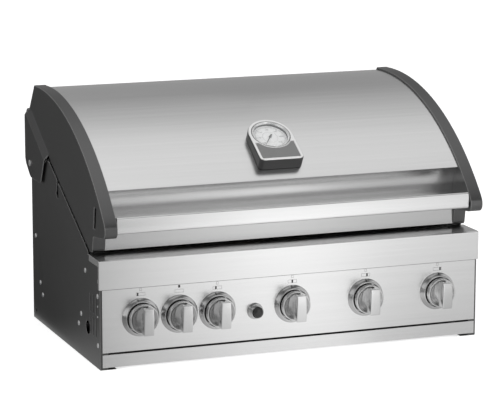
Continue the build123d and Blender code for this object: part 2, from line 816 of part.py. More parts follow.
def valve_spindle(x):
    """The D-shaped spindle that a knob turns, seated in the valve."""
    back = manifold_y - running_gap
    spindle = rod((x, back, knob_z), (0, -1, 0), spindle_radius, back + panel_front + spindle_front)
    flat_z = knob_z + spindle_radius - spindle_flat
    flat_back = -panel_front - knob_back + knob_travel
    spindle -= block(x - spindle_radius, x + spindle_radius, -panel_front - spindle_front - sheet, flat_back,
                     flat_z, flat_z + spindle_radius)
    return spindle


def turned(points, x, z):
    """A ring turned about an axis that points out of the panel; points are radius and height."""
    face = make_face(Polyline(*points, close=True))
    solid = revolve(Plane.XY * face, axis=Axis.Y)
    return Pos(x, -panel_front, z) * solid


def knob_bezel(x):
    """The chrome ring round one knob: a flared dish with a rolled lip and a flat floor."""
    points = [(bezel_hole_radius, 0), (bezel_radius, 0), (bezel_radius, -bezel_wall / 2),
              (bezel_lip_radius + bezel_wall / 2, -bezel_height + bezel_wall / 2),
              (bezel_lip_radius, -bezel_height),
              (bezel_lip_radius - bezel_wall, -bezel_height), (bezel_lip_radius - bezel_wall, -bezel_floor),
              (bezel_hole_radius, -bezel_floor)]
    hollow = [(bezel_lip_radius, -bezel_floor - seam), (bezel_lip_radius + bezel_hollow, -bezel_floor - seam),
              (bezel_lip_radius + seam, -bezel_height / 2)]
    return turned(points, x, knob_z) - turned(hollow, x, knob_z)


def knob(x):
    """One knob: a dished disc with a hub, and a tall grip bar with a hollow down each side."""
    disc = turned([(0, -knob_back), (knob_radius, -knob_back), (knob_radius, -knob_disc_front + knob_edge),
                   (knob_radius - knob_edge, -knob_disc_front), (knob_dish_radius, -knob_disc_front),
                   (knob_dish_radius - knob_dish_depth, -knob_disc_front + knob_dish_depth),
                   (0, -knob_disc_front + knob_dish_depth)], x, knob_z)
    hollow_back = -panel_front - knob_back
    pocket = ring(knob_radius - 2 * bezel_wall, knob_hub_radius, knob_disc_front / 4,
                  (x, hollow_back + sheet, knob_z), (0, -1, 0))
    disc -= pocket
    tip = -panel_front - knob_reach
    root = -panel_front - knob_disc_front + knob_dish_depth
    half, foot_half = grip_width / 2, grip_root_width / 2
    top, low = grip_height / 2, grip_height / 2 + grip_drop
    neck = tip + (root - tip) * grip_neck_share
    left = ThreePointArc((x - foot_half, root), (x - half + grip_groove, neck), (x - half, tip + grip_edge))
    right = ThreePointArc((x + half, tip + grip_edge), (x + half - grip_groove, neck), (x + foot_half, root))
    front = Polyline((x - half, tip + grip_edge), (x - half + grip_edge, tip), (x + half - grip_edge, tip),
                     (x + half, tip + grip_edge))
    plan = make_face([left, front, right, Line((x + foot_half, root), (x - foot_half, root))])
    grip = extrude(Plane.XY.offset(knob_z - low) * plan, amount=top + low)
    bow = ThreePointArc((tip + grip_bulge, knob_z + top), (tip, knob_z), (tip + grip_bulge, knob_z - low))
    foot = Polyline((tip + grip_bulge, knob_z - low), (root, knob_z - knob_dish_radius + knob_dish_depth),
                    (root, knob_z + knob_dish_radius - knob_dish_depth), (tip + grip_bulge, knob_z + top))
    side = make_face([bow, foot])
    ends = [corner for corner in side.vertices() if corner.X < root - knob_edge]
    grip &= across(fillet(ends, grip_edge), x - foot_half, x + foot_half)
    shape = disc + grip
    bore = spindle_front - knob_back + sheet + fit_gap + knob_hub_radius / 2
    shape -= rod((x, hollow_back + sheet, knob_z), (0, -1, 0), spindle_radius + running_gap, bore)
    flat_z = knob_z + spindle_radius - spindle_flat + running_gap
    shape += block(x - spindle_radius, x + spindle_radius, -panel_front - spindle_front + sheet,
                   hollow_back - 2 * sheet, flat_z, knob_z + spindle_radius + sheet)
    return shape


def igniter_bezel():
    """The ring that guides the igniter button."""
    bore = igniter_button_radius + fit_gap
    return turned([(bore, 0), (igniter_bezel_radius, 0), (igniter_bezel_radius, -sheet),
                   (igniter_step_radius, -igniter_step_height),
                   (igniter_step_radius - igniter_step, -igniter_step_height),
                   (igniter_lip_radius, -igniter_bezel_height), (bore, -igniter_bezel_height)],
                  igniter_x, igniter_z)


def igniter_button():
    """The push button with its domed front and the stem that reaches the spark generator."""
    x = igniter_x
    dome = igniter_button_radius - igniter_dome
    button = turned([(0, -igniter_button_depth), (igniter_button_radius, -igniter_button_depth),
                     (igniter_button_radius, -igniter_reach + igniter_dome), (dome, -igniter_reach),
                     (0, -igniter_reach)], x, igniter_z)
    stem_start = -panel_front - igniter_button_depth
    return button + rod((x, stem_start, igniter_z), (0, 1, 0), igniter_stem_radius,
                        igniter_button_depth + panel_front + sheet)


def igniter_module():
    """The spark generator behind the button, a round case with a socket for the button's stem."""
    x = igniter_x
    start = -panel_front + sheet
    case = rod((x, start, igniter_z), (0, 1, 0), igniter_module_radius, igniter_module_length)
    case = fillet(case.edges().group_by(Axis.Y)[-1], 2 * sheet)
    return case - rod((x, start, igniter_z), (0, 1, 0), igniter_stem_radius + fit_gap,
                      igniter_module_length / 3)


def ignition_electrodes():
    """One ceramic spark electrode beside each burner, held in the firebox front wall."""
    shapes = []
    for x in burner_xs:
        wall_y = firebox_front + slope_y(burner_z + electrode_rise)
        start = (x + electrode_offset, wall_y - electrode_length / 3, burner_z + electrode_rise)
        body = rod(start, (0, 1, 0), electrode_radius, electrode_length)
        tip = (start[0], start[1] + electrode_length, start[2])
        shapes.append(body + rod(tip, (0, 1, 0), electrode_tip_radius, electrode_length / 4))
    return group(shapes)


def tray_runners():
    """The angle on each foot that the drip tray's rim slides on."""
    web_x = tray_half + tray_rim + runner_web_gap
    lip_z = tray_top - sheet - fit_gap
    back = body_depth - panel_return - fit_gap
    front = panel_return + fit_gap
    foot_x = half_width - foot_flange / 2
    runner = block(-foot_x, -web_x, front, back, sheet, 2 * sheet)
    runner += block(-web_x - sheet, -web_x, front, back, sheet, lip_z)
    runner += block(-web_x, -tray_half - sheet - runner_web_gap, front, back, lip_z - sheet, lip_z)
    return group(both_sides(runner))


def drip_tray():
    """The wide shallow pan under the burners, with a rim turned out along its sides."""
    pan = block(-tray_half, tray_half, tray_front_y, tray_back_y, tray_bottom, tray_top)
    pan -= block(-tray_half + sheet, tray_half - sheet, tray_front_y + sheet, tray_back_y - sheet,
                 tray_bottom + sheet, tray_top + sheet)
    for side in (-1, 1):
        x0, x1 = sorted((side * (tray_half - sheet), side * (tray_half + tray_rim)))
        pan += block(x0, x1, tray_front_y + panel_return, tray_back_y, tray_top - sheet, tray_top)
    return pan


def tray_front():
    """The front strip of the drip tray, turned back along its top and bottom and fixed to the pan."""
    front = -panel_front
    strip = block(-panel_half, panel_half, front, front + sheet, tray_front_bottom, tray_front_top)
    inside = tray_half - sheet
    for z in (tray_front_bottom, tray_front_top - sheet):
        strip += block(-inside, inside, front, tray_front_y - seam, z, z + sheet)
    return strip


def hinge_pins():
    """The two pins that the lid turns on, each with a head outside and a nut inside."""
    head_x = -lobe_reach - fit_gap
    pin = rod((head_x, hinge_y, hinge_z), (-1, 0, 0), hinge_head_radius, hinge_head_height)
    pin = fillet(pin.edges().group_by(Axis.X)[0], hinge_head_height / 2)
    pin += rod((head_x, hinge_y, hinge_z), (1, 0, 0), hinge_pin_radius, lobe_reach + fit_gap - inner_half
               + hinge_nut_length)
    pin += rod((-inner_half, hinge_y, hinge_z), (1, 0, 0), hinge_nut_radius, hinge_nut_length)
    return group(both_sides(pin))


def cap_region():
    """The side outline of the lid in Y and Z, above the side panel's slanted edge."""
    tilt = cos(atan2(diagonal_end[1] - diagonal_start[1], diagonal_end[0] - diagonal_start[0]))
    low_y = diagonal_start[0]
    low_z = max(leg_bottom, diagonal_start[1] + cap_gap_front / tilt)
    arc_end_y = crown_y - sqrt(rim_radius ** 2 - (horn_arc_end_z - arc_z) ** 2)
    face = outline([(arc_end_y - overrun, lid_top + overrun), (arc_end_y - overrun, horn_arc_end_z + overrun),
                    (arc_end_y, horn_arc_end_z), nose, nose_bottom, horn_root, (leg_foot_y, leg_bottom),
                    (low_y, leg_bottom), (low_y, low_z),
                    (diagonal_end[0], diagonal_end[1] + cap_gap_rear / tilt),
                    joggle_start, joggle_end, bevel_end, (lid_corner_y, lid_top - seam),
                    (lid_corner_y, lid_top + overrun)],
                   [0, 0, 0, nose_round, nose_round, 0, leg_round, 0, 0, 0, 0, 0, 0, 0, 0])
    return face & arc_disc(rim_radius)


def joggle_frame():
    """The joggle's start, its length, and the directions along it and towards the hinge, in Y and Z."""
    along = Vector(joggle_end[0] - joggle_start[0], joggle_end[1] - joggle_start[1])
    unit = along.normalized()
    return Vector(*joggle_start), along.length, unit, Vector(unit.Y, -unit.X)


def cap_lobe():
    """The hinge lobe: a plate outside the side panel, joined to the cap by a slanted step."""
    start, length, unit, inward = joggle_frame()
    reach = joggle_run + cap_wall
    far = start + inward * reach
    inner_corner = far + unit * length
    corners = [(far.X, far.Y), (inner_corner.X, inner_corner.Y), (lobe_rear_y, lobe_rear_top),
               (lobe_rear_y, lobe_corner_z), (body_depth - lobe_heel_inset, lobe_bottom),
               (body_depth - lobe_toe_inset, lobe_bottom)]
    face = outline(corners, [0, 0, 0, lobe_round, lobe_round, lobe_toe_round])
    plate = across(face, -lobe_reach, -lobe_reach + cap_wall)
    plate -= rod((-lobe_reach - sheet, hinge_y, hinge_z), (1, 0, 0), hinge_pin_radius + running_gap,
                 cap_wall + 2 * sheet)
    base = Plane(origin=(0, start.X, start.Y), x_dir=(0, inward.X, inward.Y), z_dir=(0, unit.X, unit.Y))
    turn = -1 if base.y_dir.X < 0 else 1
    section = [(-cap_wall, cap_half), (0, cap_half), (joggle_run, lobe_reach), (reach, lobe_reach),
               (reach, lobe_reach - cap_wall), (joggle_run, lobe_reach - cap_wall),
               (0, cap_half - cap_wall), (-cap_wall, cap_half - cap_wall)]
    bends = [0, joggle_bend, joggle_bend, 0, 0, joggle_bend, joggle_bend, 0]
    strip = extrude(base * outline([(q, -x * turn) for q, x in section], bends), amount=length)
    return plate + strip


def cap_back_rim():
    """The rim down the bevel and the straight back of the lid."""
    depth = rim_depth
    corner = (lid_corner_y, lid_top - seam)
    points = [corner, bevel_end, (lid_back_y, lid_back_turn_z), (lid_back_y, lid_back_bottom),
              (lid_back_y - depth, lid_back_bottom), (lid_back_y - depth, lid_back_turn_z - depth / 2),
              (bevel_end[0] - depth, bevel_end[1] - depth / 2), (corner[0] - depth, corner[1] - depth)]
    upper = across(outline(points), -cap_half, -cap_half + rim_width)
    lower = [points[1], points[2], points[3], points[4], points[5], points[6]]
    reach = lobe_reach - cap_wall
    return upper + across(outline(lower), -reach, -cap_half) - across(
        outline([(0, joggle_end[1]), (body_width, joggle_end[1]), (body_width, lid_top), (0, lid_top)]),
        -reach, -cap_half)


def end_cap():
    """The left end cap of the lid: side plate, broad rim, horn, leg and hinge lobe."""
    region = cap_region()
    cap = across(region, -cap_half, -cap_half + cap_wall)
    cap += across(region - arc_disc(rim_radius - rim_depth), -cap_half, -cap_half + rim_width)
    front = region & outline([(nose[0] - overrun, 0), (horn_rear_y, 0), (horn_rear_y, lid_top),
                              (nose[0] - overrun, lid_top)])
    under_skin = front & arc_disc(skin_radius + seam)
    horn = across(under_skin, -cap_half, -cap_half + rim_width)
    hollow = offset(under_skin, -horn_wall)
    horn -= across(hollow, -cap_half + cap_wall, -cap_half + rim_width - cap_wall)
    room = outline([(nose[0], crease_z - skin), (horn_rear_y + skin, crease_z - skin),
                    (horn_rear_y + skin, lid_top), (nose[0], lid_top)]) & arc_disc(skin_radius + seam)
    horn -= across(room, -cap_half + cap_wall, -cap_half + rim_width + sheet)
    cap += horn
    slot_y, slot_z = horn_slot_place
    half, low, high = horn_slot_width / 2, slot_z - horn_slot_height / 2, slot_z + horn_slot_height / 2
    slot = outline([(slot_y - half + horn_slot_lean, low), (slot_y + half + horn_slot_lean, low),
                    (slot_y + half, high), (slot_y - half, high)])
    cap -= across(slot, -cap_half - sheet, -cap_half + cap_wall + sheet)
    cap += cap_back_rim()
    return cap + cap_lobe()


def lid_skin():
    """The brushed outer sheet of the lid, from the crease over the crown to the bevel."""
    band = arc_disc(skin_radius) - arc_disc(skin_radius - skin)
    back_y = lid_corner_y - rim_depth - seam
    window = outline([(nose[0], crease_z), (back_y, crease_z), (back_y, lid_top), (nose[0], lid_top)])
    sheet_body = across(band & window, -skin_half, skin_half)
    return sheet_body - gauge_bore(gauge_stem_radius + fit_gap)


def front_panel_section(shift):
    """The outer line of the trough and band under the crease, moved back by a shift."""
    crease_y = crown_y - sqrt((skin_radius - skin) ** 2 - (crease_z - arc_z) ** 2)
    depth = trough_y - crease_y
    height = crease_z - trough_turn_z
    radius = (depth ** 2 + height ** 2) / (2 * depth)
    turn = degrees(atan2(height, radius - depth))
    centre = (trough_y - radius, trough_turn_z)
    reach = radius + shift
    top = (centre[0] + reach * cos(radians(turn)), centre[1] + reach * sin(radians(turn)))
    middle = (centre[0] + reach * cos(radians(turn / 2)), centre[1] + reach * sin(radians(turn / 2)))
    return top, middle, (trough_y + shift, trough_turn_z), (trough_y + shift, band_bottom)


def lid_front_panel():
    """The sheet under the crease: a hollow trough behind the handle and a flat band below it."""
    top, middle, turn, low = front_panel_section(0)
    top_in, middle_in, turn_in, low_in = front_panel_section(skin)
    edges = [ThreePointArc(top, middle, turn), Line(turn, low), Line(low, low_in), Line(low_in, turn_in),
             ThreePointArc(turn_in, middle_in, top_in), Line(top_in, top)]
    half = cap_half - rim_width - seam
    covered = (arc_disc(skin_radius) - arc_disc(skin_radius - skin)) & outline(
        [(nose[0], crease_z), (trough_y, crease_z), (trough_y, lid_top), (nose[0], lid_top)])
    panel = across(make_face(edges) - covered, -half, half)
    panel += block(-half, half, trough_y, trough_y + band_return, band_bottom, band_bottom + skin)
    under = arc_disc(skin_radius - skin - seam) - arc_disc(skin_radius - 2 * skin - seam)
    window = outline([(0, crease_z - skin), (trough_y + tuck, crease_z - skin), (trough_y + tuck, lid_top),
                      (0, lid_top)])
    lap_end = crown_y - sqrt(skin_radius ** 2 - (crease_z + tuck - arc_z) ** 2)
    lap = under & window & outline([(0, 0), (lap_end, 0), (lap_end, lid_top), (0, lid_top)])
    return panel + across(lap, -half, half)


def lid_back_panel():
    """The sheet down the bevel and the back of the lid, turned in at its foot."""
    inset = rim_depth + seam
    top_y = lid_corner_y - rim_depth
    top_z = arc_z + sqrt(skin_radius ** 2 - (top_y - crown_y) ** 2)
    points = [(top_y, top_z), (bevel_end[0] - inset, bevel_end[1] - inset / 2),
              (lid_back_y - inset, lid_back_turn_z - inset / 2), (lid_back_y - inset, lid_back_bottom)]
    run, fall = points[1][0] - points[0][0], points[0][1] - points[1][1]
    inner = [(points[0][0], points[0][1] - skin * hypot(run, fall) / run)]
    inner += [(y - skin, z - skin / 2) for y, z in points[1:3]] + [(points[3][0] - skin, points[3][1])]
    panel = across(outline(points + inner[::-1]), -skin_half, skin_half)
    foot_y = points[3][0]
    return panel + block(-skin_half, skin_half, foot_y - panel_return / 2, foot_y, lid_back_bottom,
                         lid_back_bottom + skin)


def lid_liner():
    """The inner sheet of the double-walled lid, a pan whose turned edges meet the outer sheets."""
    outer = skin_radius - skin - seam
    inner = outer - liner_depth
    leg_y = trough_y + skin + liner_leg_gap
    back_y = arc_place(inner, liner_back_angle)[0]
    roof_window = outline([(leg_y, liner_bottom), (back_y, liner_bottom), (back_y, lid_top), (leg_y, lid_top)])
    roof = (arc_disc(inner) - arc_disc(inner - skin)) & roof_window
    leg_top = arc_z + sqrt(inner ** 2 - (leg_y - crown_y) ** 2)
    leg = outline([(leg_y, liner_bottom), (leg_y + skin, liner_bottom), (leg_y + skin, leg_top - skin),
                   (leg_y, leg_top - skin)])
    pan = across(roof, -liner_half, liner_half) + across(leg, -liner_half, liner_half)
    ends = (arc_disc(outer) - arc_disc(inner - skin / 2)) & roof_window
    flange = across(ends, -liner_half, -liner_half + skin)
    back = across((arc_disc(outer) - arc_disc(inner - skin / 2)) & outline(
        [(back_y - skin, liner_bottom), (back_y, liner_bottom), (back_y, lid_top), (back_y - skin, lid_top)]),
        -liner_half, liner_half)
    foot = block(-liner_half, liner_half, trough_y + skin + seam, leg_y + skin / 2, liner_bottom,
                 liner_bottom + skin)
    pan += both_sides(flange)
    return pan + back + foot - gauge_bore(gauge_stem_radius + fit_gap)


def lid_handle():
    """The hollow bar between the horns, broad and slightly bulging in front, with a boss at each end."""
    half = cap_half - rim_width - handle_end_gap
    bulge = ((handle_top[0] + handle_bottom[0]) / 2 - handle_bulge, (handle_top[1] + handle_bottom[1]) / 2)
    front = make_face([ThreePointArc(handle_top, bulge, handle_bottom), Line(handle_bottom, handle_back_bottom),
                       Line(handle_back_bottom, handle_back_top), Line(handle_back_top, handle_top)])
    section = fillet(front.vertices(), handle_round)
    bar = across(section, -half, half) - across(offset(section, -handle_wall), -half + handle_wall,
                                                half - handle_wall)
    boss = rod((-half - handle_end_gap + seam, *handle_boss_place), (1, 0, 0), handle_boss_radius,
               handle_end_gap - seam + handle_wall)
    return bar + both_sides(boss)


def gauge_plane():
    """The plane of the thermometer's face, its x to the right and its y up the slope of the lid."""
    tilt = radians(gauge_tilt)
    y, z = arc_place(skin_radius + gauge_rise, gauge_arc_angle)
    return Plane(origin=(gauge_x, y, z), x_dir=(1, 0, 0), z_dir=(0, -sin(tilt), cos(tilt)))


def gauge_bore(radius):
    """The hole for the thermometer's stem through the sheets of the lid."""
    return gauge_plane() * Pos(0, 0, -gauge_stem_length) * Cylinder(radius, 2 * gauge_stem_length)


def gauge_face(margin):
    """The outline of the thermometer: round at the top, square with round corners at the bottom."""
    half = gauge_half + margin
    low = -gauge_drop - margin
    lower = outline([(-half, 0), (half, 0), (half, low), (-half, low)], [0, 0, gauge_corner, gauge_corner])
    return lower + Circle(half)


def gauge_solid(face, top, bottom):
    """A face in the thermometer's plane, made solid between two depths below its front."""
    return extrude(gauge_plane().offset(-bottom) * face, amount=bottom - top)


def gauge_housing():
    """The moulded housing of the thermometer, shaped to the sweep of the lid underneath."""
    housing = gauge_solid(gauge_face(gauge_housing_margin), gauge_plate_thickness, gauge_housing_depth)
    housing -= across(arc_disc(skin_radius + seam), -body_width / 2, body_width / 2)
    return housing - gauge_solid(Circle(gauge_ring_radius + seam), 0, gauge_pocket_depth) - gauge_bore(
        gauge_stem_radius + fit_gap)


def gauge_plate():
    """The bright face plate of the thermometer, with a round window and a sunk field below it."""
    plate = gauge_solid(gauge_face(0), 0, gauge_plate_thickness)
    plate -= gauge_solid(Circle(gauge_ring_radius + seam), -sheet, 2 * gauge_plate_thickness)
    half = gauge_half - gauge_field_margin
    low = -gauge_drop + gauge_field_margin
    field = outline([(-half, -gauge_field_top), (half, -gauge_field_top), (half, low), (-half, low)],
                    [0, 0, gauge_corner / 2, gauge_corner / 2]) - Circle(gauge_ring_radius + gauge_ring_wall)
    return plate - gauge_solid(field, -sheet, gauge_field_depth)


def gauge_ring():
    """The ring in the window, which carries the lens and the dial."""
    wide = gauge_solid(Circle(gauge_ring_radius), 0, gauge_pocket_depth - seam)
    inner = gauge_ring_radius - gauge_ring_wall
    ring_body = wide - gauge_solid(Circle(inner - gauge_dial_seat), -sheet, gauge_dial_depth)
    ring_body -= gauge_solid(Circle(inner), -sheet, gauge_lens_depth + gauge_lens_thickness + seam)
    return ring_body - gauge_solid(Circle(inner), gauge_dial_depth, gauge_pocket_depth + sheet)


def gauge_dial():
    """The printed disc of the thermometer."""
    radius = gauge_ring_radius - gauge_ring_wall - seam
    dial = gauge_solid(Circle(radius), gauge_dial_depth, gauge_dial_depth + gauge_dial_thickness)
    return dial - gauge_solid(Circle(needle_pivot_radius + running_gap), 0, gauge_pocket_depth)


def gauge_lens():
    """The glass over the dial."""
    radius = gauge_ring_radius - gauge_ring_wall - seam
    return gauge_solid(Circle(radius), gauge_lens_depth, gauge_lens_depth + gauge_lens_thickness)


def gauge_stem():
    """The probe behind the dial, which reaches through the lid into the cooking space."""
    top = gauge_dial_depth + gauge_dial_thickness + needle_lift + fit_gap
    cup = gauge_solid(Circle(gauge_ring_radius - gauge_ring_wall - seam), top, gauge_pocket_depth - seam)
    probe = gauge_solid(Circle(gauge_stem_radius), top, gauge_stem_length)
    return cup + probe


def gauge_needle():
    """The pointer on its pivot, with a short broad tail."""
    bottom = gauge_dial_depth - needle_lift
    shape = outline([(-needle_tail, -needle_tail_width / 2), (0, -needle_tail_width / 2),
                     (0, -needle_width / 2), (needle_length, -seam), (needle_length, seam),
                     (0, needle_width / 2), (0, needle_tail_width / 2), (-needle_tail, needle_tail_width / 2)])
    face = Rot(0, 0, needle_angle) * shape + Circle(needle_hub_radius)
    needle = gauge_solid(face, bottom - needle_thickness, bottom)
    return needle + gauge_solid(Circle(needle_pivot_radius), bottom - needle_thickness,
                                bottom - needle_thickness + needle_pivot_height)


def parts():
    """Every named piece of the grill."""
    left_side = side_panel()
    left_cap = end_cap()
    pieces = {
        "left_side_panel": left_side,
        "right_side_panel": mirror(left_side, about=Plane.YZ),
        "side_screws": side_screws(),
        "rear_panel": rear_panel(),
        "front_ledge": front_ledge(),
        "control_panel": control_panel(),
        "firebox_front_wall": firebox_front_wall(),
        "firebox_rear_wall": firebox_rear_wall(),
        "firebox_side_walls": firebox_side_walls(),
        "flame_tamers": flame_tamers(),
        "warming_rack": warming_rack(),
        "rear_burner_housing": rear_burner_housing(),
        "rear_burner_tile": rear_burner_tile(),
        "rear_burner_pipe": rear_burner_pipe(),
        "gas_manifold": gas_manifold(),
        "gas_valves": group([gas_valve(x) for x in knob_xs]),
        "knob_bezels": group([knob_bezel(x) for x in knob_xs]),
        "igniter_bezel": igniter_bezel(),
        "igniter_button": igniter_button(),
        "igniter_module": igniter_module(),
        "ignition_electrodes": ignition_electrodes(),
        "tray_runners": tray_runners(),
        "drip_tray": drip_tray(),
        "tray_front": tray_front(),
        "hinge_pins": hinge_pins(),
        "left_end_cap": left_cap,
        "right_end_cap": mirror(left_cap, about=Plane.YZ),
        "lid_skin": lid_skin(),
        "lid_front_panel": lid_front_panel(),
        "lid_back_panel": lid_back_panel(),
        "lid_liner": lid_liner(),
        "lid_handle": lid_handle(),
        "gauge_housing": gauge_housing(),
        "gauge_plate": gauge_plate(),
        "gauge_ring": gauge_ring(),
        "gauge_dial": gauge_dial(),
        "gauge_lens": gauge_lens(),
        "gauge_stem": gauge_stem(),
        "gauge_needle": gauge_needle(),
    }
    for i, x in enumerate(burner_xs):
        pieces[f"main_burner_{i + 1}"] = main_burner(x)
    for i, x in enumerate(knob_xs):
        pieces[f"knob_{i + 1}"] = knob(x)
        pieces[f"valve_spindle_{i + 1}"] = valve_spindle(x)
    for i, side in enumerate(("left", "centre", "right")):
        pieces[f"{side}_cooking_grate"] = cooking_grate(i)
    return pieces


os.makedirs("parts", exist_ok=True)
for name, piece in parts().items():
    export_step(Pos(0, front_y, 0) * piece, f"parts/{name}.step")
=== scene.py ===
import json
import math

import bpy
from mathutils import Matrix, Vector
from mathutils.bvhtree import BVHTree


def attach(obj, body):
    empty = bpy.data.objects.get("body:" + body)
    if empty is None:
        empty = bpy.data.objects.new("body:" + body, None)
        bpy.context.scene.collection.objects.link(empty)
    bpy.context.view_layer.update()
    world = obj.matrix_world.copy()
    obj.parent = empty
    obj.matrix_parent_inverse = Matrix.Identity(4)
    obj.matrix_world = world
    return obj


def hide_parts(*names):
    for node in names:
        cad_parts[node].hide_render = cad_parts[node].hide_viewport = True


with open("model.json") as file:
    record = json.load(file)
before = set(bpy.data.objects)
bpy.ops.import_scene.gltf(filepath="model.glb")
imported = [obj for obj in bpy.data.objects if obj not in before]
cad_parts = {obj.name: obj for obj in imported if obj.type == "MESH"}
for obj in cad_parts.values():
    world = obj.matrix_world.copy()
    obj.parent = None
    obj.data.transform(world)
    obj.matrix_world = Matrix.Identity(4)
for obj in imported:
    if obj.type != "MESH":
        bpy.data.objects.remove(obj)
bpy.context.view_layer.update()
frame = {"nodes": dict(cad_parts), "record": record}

NODES = frame["nodes"]
BODY_OF = {node: body for body, nodes in frame["record"]["behaviour"]["bodies"].items() for node in nodes}
# The piece that shows for each node
SHOWN = dict(NODES)
MM = 0.001
# Points nearer than this are one point
WELD = 0.000004

# The photograph's view: from the left and a little above, through a long lens.
CAMERA_TURN = 20.906
CAMERA_RISE = 11.328
CAMERA_ROLL = 0.09
CAMERA_EYE = (-1.75364, -4.56898, 1.23233)
CAMERA_LENS = 175.56

# Places in the grill's own frame, in metres.
PANEL_Y = -0.221
KNOB_Z = 0.100
PITCH = 0.1575
ROW_X = -0.0032
KNOB_XS = [ROW_X + share * PITCH for share in (-2.0, -1.5, -1.0, 0.0, 1.0, 2.0)]
FIRST_KNOB = Vector((KNOB_XS[0], PANEL_Y, KNOB_Z))
IGNITER = Vector((ROW_X - 0.5 * PITCH, PANEL_Y, 0.092))
MARK_Z = 0.1455
MARK_PITCH = 0.003
SMALL_MARK_Z = 0.1547
PANEL_HALF_WIDTH = 0.400
GAUGE_TILT = math.radians(29.9)
GAUGE_PLACE = Vector((-0.007, -0.11204, 0.42245))
GAUGE_OUT = Vector((0.0, -math.sin(GAUGE_TILT), math.cos(GAUGE_TILT)))
GAUGE_UP = Vector((0.0, math.cos(GAUGE_TILT), math.sin(GAUGE_TILT)))
DIAL_DEPTH = 0.008
OUT = Vector((0.0, -1.0, 0.0))
RIGHT = Vector((1.0, 0.0, 0.0))
UP = Vector((0.0, 0.0, 1.0))

# The surround's light by height, behind and in front: 0 is straight down, 0.5 level and 1 straight up.
BEHIND_LIGHT = ((0.0, 0.5), (0.5, 0.4), (0.6, 0.33), (0.75, 0.306), (0.87, 0.50), (0.95, 0.79), (1.0, 0.88))
FRONT_LIGHT = ((0.0, 0.9), (0.5, 1.2), (0.57, 1.2), (0.66, 1.15), (0.74, 0.9), (0.81, 0.3), (0.85, 0.1),
               (0.9, 0.1), (0.95, 0.7), (1.0, 1.0))
# How much of the light in front is seen: 0 is to the front and 1 to the back.
FRONT_SHARE = ((0.0, 1.0), (0.35, 0.8), (0.55, 0.0), (1.0, 0.0))

# The pool of light on the floor and the card leans to the right as it runs forward.
LEAN = 0.38
# Across it, 0 is 1 m left of the grill's middle and 1 is 1 m right.
POOL_ACROSS = ((0.0, 0.15), (0.2, 0.3), (0.3, 0.7), (0.35, 0.82), (0.41, 0.98), (0.47, 1.08), (0.51, 1.05),
               (0.56, 0.76), (0.62, 0.66), (0.8, 0.55), (1.0, 0.45))
# Along it, 0 is POOL_BACK metres behind the middle and 1 is POOL_LENGTH metres further forward.
POOL_BACK = 1.0
POOL_LENGTH = 4.0
POOL_ALONG = ((0.0, 0.8), (0.16, 0.76), (0.24, 0.7), (0.33, 0.79), (0.4, 0.92), (0.5, 1.0), (0.58, 1.1),
              (0.67, 1.3), (1.0, 1.35))
# The shade left of SHADE_EDGE_X and behind the middle: 0 is 1 m left and 1 is the middle.
SIDE_SHADE = ((0.45, 0.2), (0.54, 0.1), (0.6, 0.04), (0.7, 0.0))
SHADE_EDGE_X = -0.41
# The card's light by height in metres
CARD_RISE = ((0.0, 1.35), (0.4, 1.4), (0.6, 1.4), (0.8, 1.3), (1.0, 1.2))
WHITE = (1.0, 1.0, 1.0, 1.0)


def set_stops(ramp, stops):
    """Gives a colour ramp its stops, each a position and a colour."""
    while len(ramp.elements) > 1:
        ramp.elements.remove(ramp.elements[-1])
    ramp.elements[0].position, ramp.elements[0].color = stops[0]
    for position, colour in stops[1:]:
        ramp.elements.new(position).color = colour


class Value:
    """A number or colour that changes over a surface, so that sums of it read like sums."""

    def __init__(self, nodes, socket):
        self.nodes, self.socket = nodes, socket

    def math(self, operation, *terms):
        return self.nodes.node("ShaderNodeMath", {"operation": operation}, dict(enumerate(terms)))

    def __add__(self, other):
        return self.math("ADD", self, other)

    def __sub__(self, other):
        return self.math("SUBTRACT", self, other)

    def __rsub__(self, other):
        return self.math("SUBTRACT", other, self)

    def __mul__(self, other):
        return self.math("MULTIPLY", self, other)

    __radd__ = __add__
    __rmul__ = __mul__

    def above(self, edge, soft):
        """From 0 to 1 as the value passes an edge, over a soft width."""
        return self.nodes.node("ShaderNodeMapRange", {"interpolation_type": "SMOOTHSTEP"},
                               {"Value": self, "From Min": edge - soft, "From Max": edge + soft})


class Nodes:
    """The nodes of one material or surround."""

    def __init__(self, tree):
        self.tree = tree

    def node(self, kind, settings=None, sockets=None, output=0):
        """A new node with its settings and its inputs, given back as its output."""
        made = self.tree.nodes.new(kind)
        for key, value in (settings or {}).items():
            if key == "stops":
                set_stops(made.color_ramp, value)
            else:
                setattr(made, key, value)
        for key, value in (sockets or {}).items():
            if isinstance(value, Value):
                self.tree.links.new(value.socket, made.inputs[key])
            else:
                made.inputs[key].default_value = value
        return Value(self, made.outputs[output])

    def split(self, vector):
        """The three coordinates of a vector."""
        made = self.tree.nodes.new("ShaderNodeSeparateXYZ")
        self.tree.links.new(vector.socket, made.inputs[0])
        return [Value(self, output) for output in made.outputs]

    def ray(self, kind):
        """1 for rays of one kind, such as the camera's own."""
        return Value(self, self.tree.nodes.new("ShaderNodeLightPath").outputs[kind])

    def blend(self, share, first, second):
        """A colour between two colours."""
        return self.node("ShaderNodeMix", {"data_type": "RGBA"}, {0: share, 6: first, 7: second}, output=2)

    def shades(self, position, stops, change="LINEAR"):
        """A grey that changes as a position runs from 0 to 1."""
        greys = [(place, (level, level, level, 1.0)) for place, level in stops]
        made = self.node("ShaderNodeValToRGB", {"stops": greys}, {0: position})
        made.socket.node.color_ramp.interpolation = change
        return made


